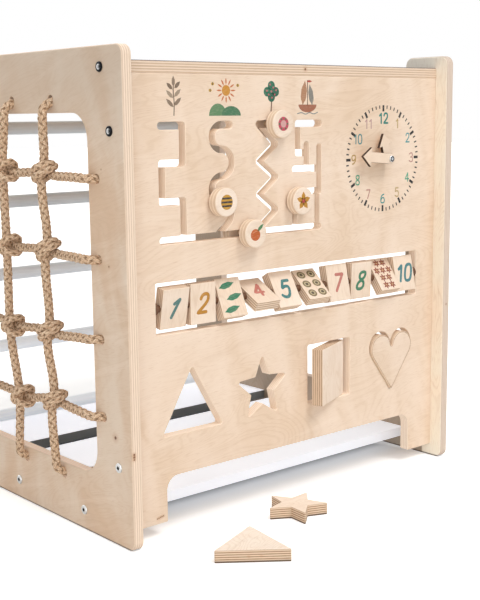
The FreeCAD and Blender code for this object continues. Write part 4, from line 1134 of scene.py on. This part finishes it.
# %% Strokes, digits and pictures
DIGITS = {
    "0": [(0, .25), (0, .75), (.12, 1.03), (.48, 1.03), (.6, .75), (.6, .25), (.48, -.03),
          (.12, -.03)],
    "1": [(.1, .78), (.1, .78), (.35, 1), (.35, 1), (.35, 0), (.35, 0)],
    "2": [(.05, .78), (.08, 1.02), (.52, 1.04), (.6, .72), (.5, .48), (.03, 0), (.03, 0),
          (.62, 0)],
    "3": [(.05, .9), (.2, 1.03), (.58, 1.02), (.58, .56), (.25, .53), (.25, .53), (.62, .52),
          (.62, -.02), (.2, -.04), (.03, .1)],
    "4": [(.45, 0), (.45, 1), (.45, 1), (0, .28), (0, .28), (.62, .28)],
    "5": [(.55, 1), (.12, 1), (.12, 1), (.06, .56), (.06, .56), (.25, .66), (.62, .62),
          (.62, -.02), (.2, -.05), (.02, .1)],
    "6": [(.5, .97), (.25, .95), (0, .6), (0, .1), (.12, -.03), (.55, -.03), (.62, .3),
          (.52, .58), (.2, .6), (.02, .3)],
    "7": [(.02, 1), (.6, 1), (.6, 1), (.2, 0)],
    "8": [(.3, .52), (.04, .7), (.06, 1.03), (.54, 1.03), (.56, .7), (.3, .52), (0, .34),
          (.02, -.04), (.58, -.04), (.6, .34)],
}
DIGITS["9"] = [(.6 - x, 1 - y) for x, y in DIGITS["6"]]
CLOSED_DIGITS = "08"
LAYER = 0.7 * INK
FACE_FRONT = Matrix(((1, 0, 0, 0), (0, 0, -1, 0), (0, 1, 0, 0), (0, 0, 0, 1)))


def on_ring(turn, across, up, middle=(0, 0)):
    """A place on a ring, its turn in degrees clockwise from the top."""
    angle = math.radians(turn)
    return middle[0] + across * math.sin(angle), middle[1] + up * math.cos(angle)


class Picture:
    """A printed picture, drawn in millimetres to the right and up on a flat face."""

    def __init__(self):
        self.parts = []

    def add(self, mesh, code):
        dress(mesh, ink(code))
        self.parts.append(object_of("ink_part", mesh))

    def stamp(self, kind, code, place, size, turn=0.0, layer=0):
        """A copy of a printing shape, its turn in degrees."""
        mesh = kind.data.copy()
        mesh.transform(Matrix.Translation((place[0] * MM, place[1] * MM, layer * LAYER - SUNK))
                       @ Matrix.Rotation(math.radians(turn), 4, "Z")
                       @ Matrix.Diagonal((size[0] * MM, size[1] * MM, 1.0, 1.0)))
        self.add(mesh, code)

    def stroke(self, points, width, code, closed=False, layer=0):
        """A pen stroke, with dots on its ends."""
        path = nurbs_path([(u * MM, v * MM, 0) for u, v in points], 6, closed)
        path.data.bevel_depth = width / 2 * MM
        path.data.bevel_resolution = 2
        path.data.use_fill_caps = True
        mesh = mesh_of(path)
        flat = Matrix.Diagonal((1.0, 1.0, INK / (width / 2 * MM), 1.0))
        mesh.transform(Matrix.Translation((0, 0, layer * LAYER)) @ flat)
        self.add(mesh, code)
        for u, v in () if closed else (points[0], points[-1]):
            self.stamp(dot_kind, code, (u, v), (width, width), layer=layer)

    def wreath(self, kind, code, count, reach, size, middle=(0, 0)):
        """Copies of a shape in a ring, each turned with it."""
        for k in range(count):
            turn = 360 / count * k
            self.stamp(kind, code, on_ring(turn, reach, reach, middle), size, turn=-turn)

    def number(self, text, code, place, height, width, slant=0.0):
        """A number centred on a place."""
        pitch = 0.74 * height
        start = place[0] - (0.6 * height + pitch * (len(text) - 1)) / 2
        for k, char in enumerate(text):
            points = [(start + k * pitch + (x + slant * (y - 0.5)) * height,
                       place[1] + (y - 0.5) * height) for x, y in DIGITS[char]]
            self.stroke(points, width, code, closed=char in CLOSED_DIGITS)

    def lay(self, name, body, slot, place):
        """Joins the parts and lays the picture on its face."""
        bpy.ops.object.select_all(action="DESELECT")
        for part in self.parts:
            part.select_set(True)
        bpy.context.view_layer.objects.active = self.parts[0]
        bpy.ops.object.join()
        piece = bpy.context.object
        piece.name = piece.data.name = name
        piece.data.transform(place)
        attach(piece, body)
        return piece


def print_on_panel(picture, name, x, z):
    """Lays a picture on the play panel's face."""
    picture.lay(name, "cube", "birch_ply",
                Matrix.Translation(spot(x, FRONT_FACE, z)) @ FACE_FRONT)


print("digits ready:", len(DIGITS))

# %% [markdown]
# ## The clock's dial
# Sixty ticks stand in a ring, every fifth one long and bold, and the hours stand inside them
# in twelve soft colours. The twelve is the largest. Nothing else is printed on the dial.

# %% Print the dial
DIAL_PLACE, TICK_OUTER = (577.5, 578.0), 94.0
HOURS_WIDE, HOURS_HIGH = 75, 71
HOUR_INKS = ["D8B877", "5FB3B5", "DDAA9C", "5DB998", "DCBC84", "3FA3A0", "DBA394", "5DB58F",
             "C9A55F", "4E9BA0", "DDB0A8", "1F8F83"]
dial = Picture()
for minute in range(60):
    long, wide = (11.0, 4.8) if minute % 5 == 0 else (6.2, 2.4)
    reach = TICK_OUTER - long / 2
    dial.stamp(bar_kind, TICK_INK, on_ring(6 * minute, reach, reach), (wide, long),
               turn=-6 * minute)
for hour, code in enumerate(HOUR_INKS, 1):
    height, width = (16.5, 3.4) if hour == 12 else (15.0, 2.5)
    dial.number(str(hour), code, on_ring(30 * hour, HOURS_WIDE, HOURS_HIGH), height, width)
print_on_panel(dial, "clock_dial_print", *DIAL_PLACE)
print("parts of the dial:", 60 + len(HOUR_INKS))

# %% [markdown]
# ## Pictures over the maze
# Four small pictures say where each path of the maze begins. They are plain motifs: a leafy
# sprig, a sun over green hills, a clover and a sailing boat, in browns, oranges and greens.

# %% Print the four pictures
sprig = Picture()
sprig.stroke([(0, -27), (1.5, -8), (-1, 8), (0, 18)], 1.8, "7C6650")
for v, size, code in [(-12, 14, "A08872"), (1, 13, "B8A28A"), (13, 11, "8C7560")]:
    sprig.stamp(leaf_kind, code, (-7, v + 3), (6.5, size), turn=48)
    sprig.stamp(leaf_kind, code, (7, v + 5), (6.5, size), turn=-48)
sprig.stamp(leaf_kind, "A08872", (0, 23), (6.5, 12))
print_on_panel(sprig, "sprig_print", 111.5, 685)

hills = Picture()
hills.stamp(dot_kind, "E9A23B", (3, 12), (17, 17))
hills.wreath(leaf_kind, "DF7A3A", 12, 14, (2.8, 8), middle=(3, 12))
hills.stamp(half_kind, "6E9A6C", (-14, -27), (36, 38))
hills.stamp(half_kind, "4F8660", (13, -27), (40, 30), layer=1)
for u, v in [(-24, 22), (-29, 12), (27, 20)]:
    hills.stamp(dot_kind, "E3B13E", (u, v), (6, 5))
    hills.stamp(bar_kind, "2B2A2C", (u, v), (1.4, 4.4), layer=1)
print_on_panel(hills, "hills_print", 211.5, 683.5)

clover = Picture()
clover.stroke([(0, 2), (1, -10), (-1, -24)], 2.4, "7A5A45")
for k, (u, v) in enumerate([(0, 16), (9, 6.5), (-9, 6.5), (0, -2)]):
    clover.stamp(dot_kind, "1F6B52" if k % 2 else "247A5D", (u, v), (15.5, 15.5), layer=k % 2)
for u, v in [(-3, 18), (4, 13), (-10, 8), (10, 9), (7, 2), (-6, 2), (1, -3), (0, 7)]:
    clover.stamp(dot_kind, "D9707A", (u, v), (3.2, 3.2), layer=2)
print_on_panel(clover, "clover_print", 310, 687.5)

boat = Picture()
boat.stamp(half_kind, "B87456", (0, -12), (42, 26), turn=180)
boat.stroke([(0, -13), (0, 6), (0, 27)], 1.8, "7A5A45")
boat.stamp(leaf_kind, "C9946F", (-8.5, 6), (14, 30), turn=-8)
boat.stamp(leaf_kind, "9A958C", (8, 3), (12, 26), turn=10)
boat.stamp(leaf_kind, "C9503F", (4, 26), (4, 9), turn=-90)
boat.stroke([(-23, -27), (-14, -24), (-5, -29), (5, -24), (14, -29), (23, -25)], 1.6, "8E9A97")
print_on_panel(boat, "boat_print", 391, 685.5)
print("pictures over the maze: 4")

# %% [markdown]
# ## Prints on the blocks
# Each number block has its number on one side and as many things on the other, so that a
# child can turn it over and count. Three, six and nine are turned to their pictures: leaves,
# rings and rosettes. The things stand in rows inside a room a little smaller than the block.
# The numbers lean like handwriting. A block's back is its front turned over about the rod, so
# a print stands upright once the block has been turned.

# %% Print the blocks
BLOCK_INKS = ["5E8F8B", "D8962C", "3E8E6A", "E5897A", "3D8B8B", "8D7A52", "DE8A7C", "3E8E6A",
              "A8583F", "4E9096"]
COUNT_ROWS = {1: [1], 2: [1, 1], 3: [1, 1, 1], 4: [2, 2], 5: [2, 1, 2], 6: [2, 2, 2],
              7: [2, 3, 2], 8: [3, 2, 3], 9: [2, 3, 2, 2], 10: [3, 2, 3, 2]}
SHOWS_PICTURE = (3, 6, 9)
ROOM_WIDE, ROOM_HIGH, OFF_LINE = 46, 60, 5
MOTIFS = ("leaf", "ring", "rosette")
TURNED_OVER = Matrix.Rotation(math.pi, 4, "X")


def thing(picture, motif, place, size, code):
    """One of the things to count."""
    u, v = place
    if motif == "leaf":
        picture.stamp(leaf_kind, code, place, (0.42 * size, size), turn=-78)
        picture.stroke([(u - 0.55 * size, v - 2), (u, v), (u + 0.45 * size, v + 1)], 0.9,
                       "2F7A55", layer=1)
    elif motif == "ring":
        picture.stamp(dot_kind, code, place, (size, 0.86 * size))
        picture.stamp(dot_kind, "D9C7A0", place, (0.66 * size, 0.56 * size), layer=1)
        picture.stamp(dot_kind, "5B4A33", place, (0.36 * size, 0.3 * size), layer=2)
    else:
        picture.wreath(leaf_kind, code, 6, 0.3 * size, (0.28 * size, 0.42 * size), middle=place)
        picture.stamp(dot_kind, "E7C08A", place, (0.26 * size, 0.26 * size), layer=1)


def thing_size(motif, rows):
    """How large the things are, so that their rows fit on the block."""
    if motif == "leaf" and max(rows) == 1:
        return 25
    few = len(rows) == 3 and max(rows) < 3
    size = 15 if not few else 24 if motif == "leaf" else 18
    return min(size, 44 / max(rows) - 1)


for number, x in enumerate(BLOCK_PLACES, 1):
    figure, things = Picture(), Picture()
    code = BLOCK_INKS[number - 1]
    figure.number(str(number), code, (0, 0), 28.0, 5.6, slant=0.5 if number == 1 else 0.28)
    motif = MOTIFS[number % 3 or number // 3 - 1]
    rows = COUNT_ROWS[number]
    size = thing_size(motif, rows)
    for r, count in enumerate(rows):
        v = ROOM_HIGH / len(rows) * ((len(rows) - 1) / 2 - r)
        for c in range(count):
            u = ROOM_WIDE / max(rows) * (c - (count - 1) / 2)
            if max(rows) == 1:
                u += OFF_LINE if r % 2 else -OFF_LINE
            thing(things, motif, (u, v), size, code)
    face = Matrix.Translation(spot(x, ROD_Y, ROD_Z)) @ block_turn(number - 1)
    front = Matrix.Translation((0, -BOARD / 2, 0)) @ FACE_FRONT
    first, second = (things, figure) if number in SHOWS_PICTURE else (figure, things)
    body = f"number_block_{number}"
    first.lay(f"block_{number}_front_print", body, "block_ply", face @ front)
    second.lay(f"block_{number}_back_print", body, "block_ply", face @ TURNED_OVER @ front)
print("blocks printed:", len(BLOCK_PLACES))

# %% [markdown]
# ## Prints on the knobs
# Each knob carries a small picture that belongs to its path: a striped ball, a ring of dots,
# a star and a round fruit with a leaf. They are printed on the front discs and turn and
# slide with them.

# %% Print the knobs
KNOB_FACE, KNOB_ZOOM = 5.0, 1.2
KNOB_PLACES = {"wave": (195.9, 523.0), "zigzag": (317.0, 642.5), "grid": (361.5, 515.7),
               "floor": (256.6, 469.0)}


def lay_on_knob(picture, knob):
    x, z = KNOB_PLACES[knob]
    picture.lay(f"{knob}_knob_print", f"{knob}_knob_front", "block_ply",
                Matrix.Translation(spot(x, KNOB_FACE, z)) @ FACE_FRONT
                @ Matrix.Diagonal((KNOB_ZOOM, KNOB_ZOOM, 1.0, 1.0)))


ball = Picture()
ball.stamp(dot_kind, "E3A93A", (0, 0), (20, 20))
for v, long in [(5, 16.5), (0, 19), (-5, 16.5)]:
    ball.stamp(bar_kind, "2B2A2C", (0, v), (long, 2.4), layer=1)
lay_on_knob(ball, "wave")
ring = Picture()
ring.stamp(dot_kind, "D9566A", (0, 0), (19, 19))
ring.stamp(dot_kind, "F0B9B4", (0, 0), (10, 10), layer=1)
for k in range(6):
    ring.stamp(dot_kind, "3F7F55", on_ring(60 * k + 30, 7.2, 7.2), (2.6, 2.6), layer=1)
lay_on_knob(ring, "zigzag")
star = Picture()
star.wreath(leaf_kind, "D99A2B", 5, 5.2, (8, 11))
star.stamp(dot_kind, "C9503F", (0, 0), (6, 6), layer=1)
lay_on_knob(star, "grid")
fruit = Picture()
fruit.stamp(dot_kind, "D96B2B", (-1.5, -1.5), (17, 16))
fruit.stamp(leaf_kind, "4E8F5A", (7, 7.5), (5, 11), turn=-50)
fruit.stroke([(-6, 1), (-3, 3.4), (1, 3.6)], 1.1, "F0A070", layer=1)
lay_on_knob(fruit, "floor")
for kind in PRINTING_KINDS:
    bpy.data.objects.remove(kind)
print("knobs printed:", len(KNOB_PLACES), "inks:", len(inks))

# %% [markdown]
# ## Floor
# The cube stands on a plain white floor that runs out of sight. A floor that is only lit by
# the lamps would look grey, and one that only glows would lose the cube's shadow, so the
# finish is half of each: the open floor comes out white and the shadow stays. Beneath the
# floor boards it is painted dark grey, a painted shade, and doesn't glow, so the gap stays dark.

# %% Lay the floor
FLOOR_GLOW, FOOT_MIDDLE = 0.44, 0.1175
floor = begin(bpy.ops.mesh.primitive_plane_add, size=40.0, location=(0, 0, 0))
floor.name = "studio_floor"
f = Finish("studio_white", roughness=0.9)
aside = f.math("ABSOLUTE", f.at(X_WAY))
behind = f.math("ABSOLUTE", f.math("SUBTRACT", f.at(Y_WAY), FOOT_MIDDLE))
beyond_boards = f.math("MAXIMUM", f.step(aside, 0.30, 0.34), f.step(behind, 0.23, 0.28))
open_floor = f.math("MAXIMUM", f.step(aside, 0.33, 0.37), f.step(behind, 0.29, 0.40))
# Painted shade: the floor under the boards is dark grey.
f.colour(f.mix(beyond_boards, (0.20, 0.20, 0.20, 1.0), (0.88, 0.87, 0.85, 1.0)))
f.skin("Emission Color", (1.0, 1.0, 1.0, 1.0))
f.skin("Emission Strength",
       f.times(f.node("LightPath", "Is Camera Ray"), f.times(open_floor, FLOOR_GLOW)))
dress(floor.data, f.material)
print("floor laid")

# %% [markdown]
# ## Light
# The photograph has large soft lights: the play panel faces the brighter one, the left side
# is a little darker, and shadows are soft and fall straight down. A wide sun from above the
# panel gives the first and a low one from the left the second. A weak one from the front
# fills the holes, one from behind brightens the tops of the boards, and the sky fills the
# rest. The sky is white where it is seen, straight or in a gloss, and dimmer as a light.

# %% Place the lights
SKY_STRENGTH = 0.39


def add_sun(name, direction, strength, width):
    """A sun that shines from a direction; a wide one casts a soft shadow."""
    sun = begin(bpy.ops.object.light_add, type="SUN", location=Vector(direction) * 3)
    sun.name = name
    sun.rotation_euler = Vector(direction).to_track_quat("Z", "Y").to_euler()
    sun.data.energy = strength
    sun.data.angle = math.radians(width)


add_sun("key_light", (0.08, -0.62, 1.00), 1.60, 28)
add_sun("fill_light", (-0.75, -0.60, 0.30), 0.70, 45)
add_sun("front_light", (-0.15, -1.00, 0.12), 0.25, 30)
add_sun("back_light", (-0.30, 0.80, 0.60), 0.60, 40)
world = bpy.data.worlds.new("studio_world")
world.use_nodes = True
bpy.context.scene.world = world
tree = world.node_tree
seen = add_node(tree, "LightPath", "Is Camera Ray")
for other in ("Is Glossy Ray", "Is Transmission Ray"):
    seen = add_node(tree, "Math", 0, {0: seen, 1: add_node(tree, "LightPath", other)},
                    operation="MAXIMUM")
level = add_node(tree, "MapRange", "Result",
                 {"Value": seen, "To Min": SKY_STRENGTH, "To Max": 1.0})
feed(tree, tree.nodes["Background"].inputs["Strength"], level)
feed(tree, tree.nodes["Background"].inputs["Color"], (1.0, 1.0, 1.0, 1.0))
bpy.context.scene.view_settings.view_transform = "Standard"
print("lights placed")
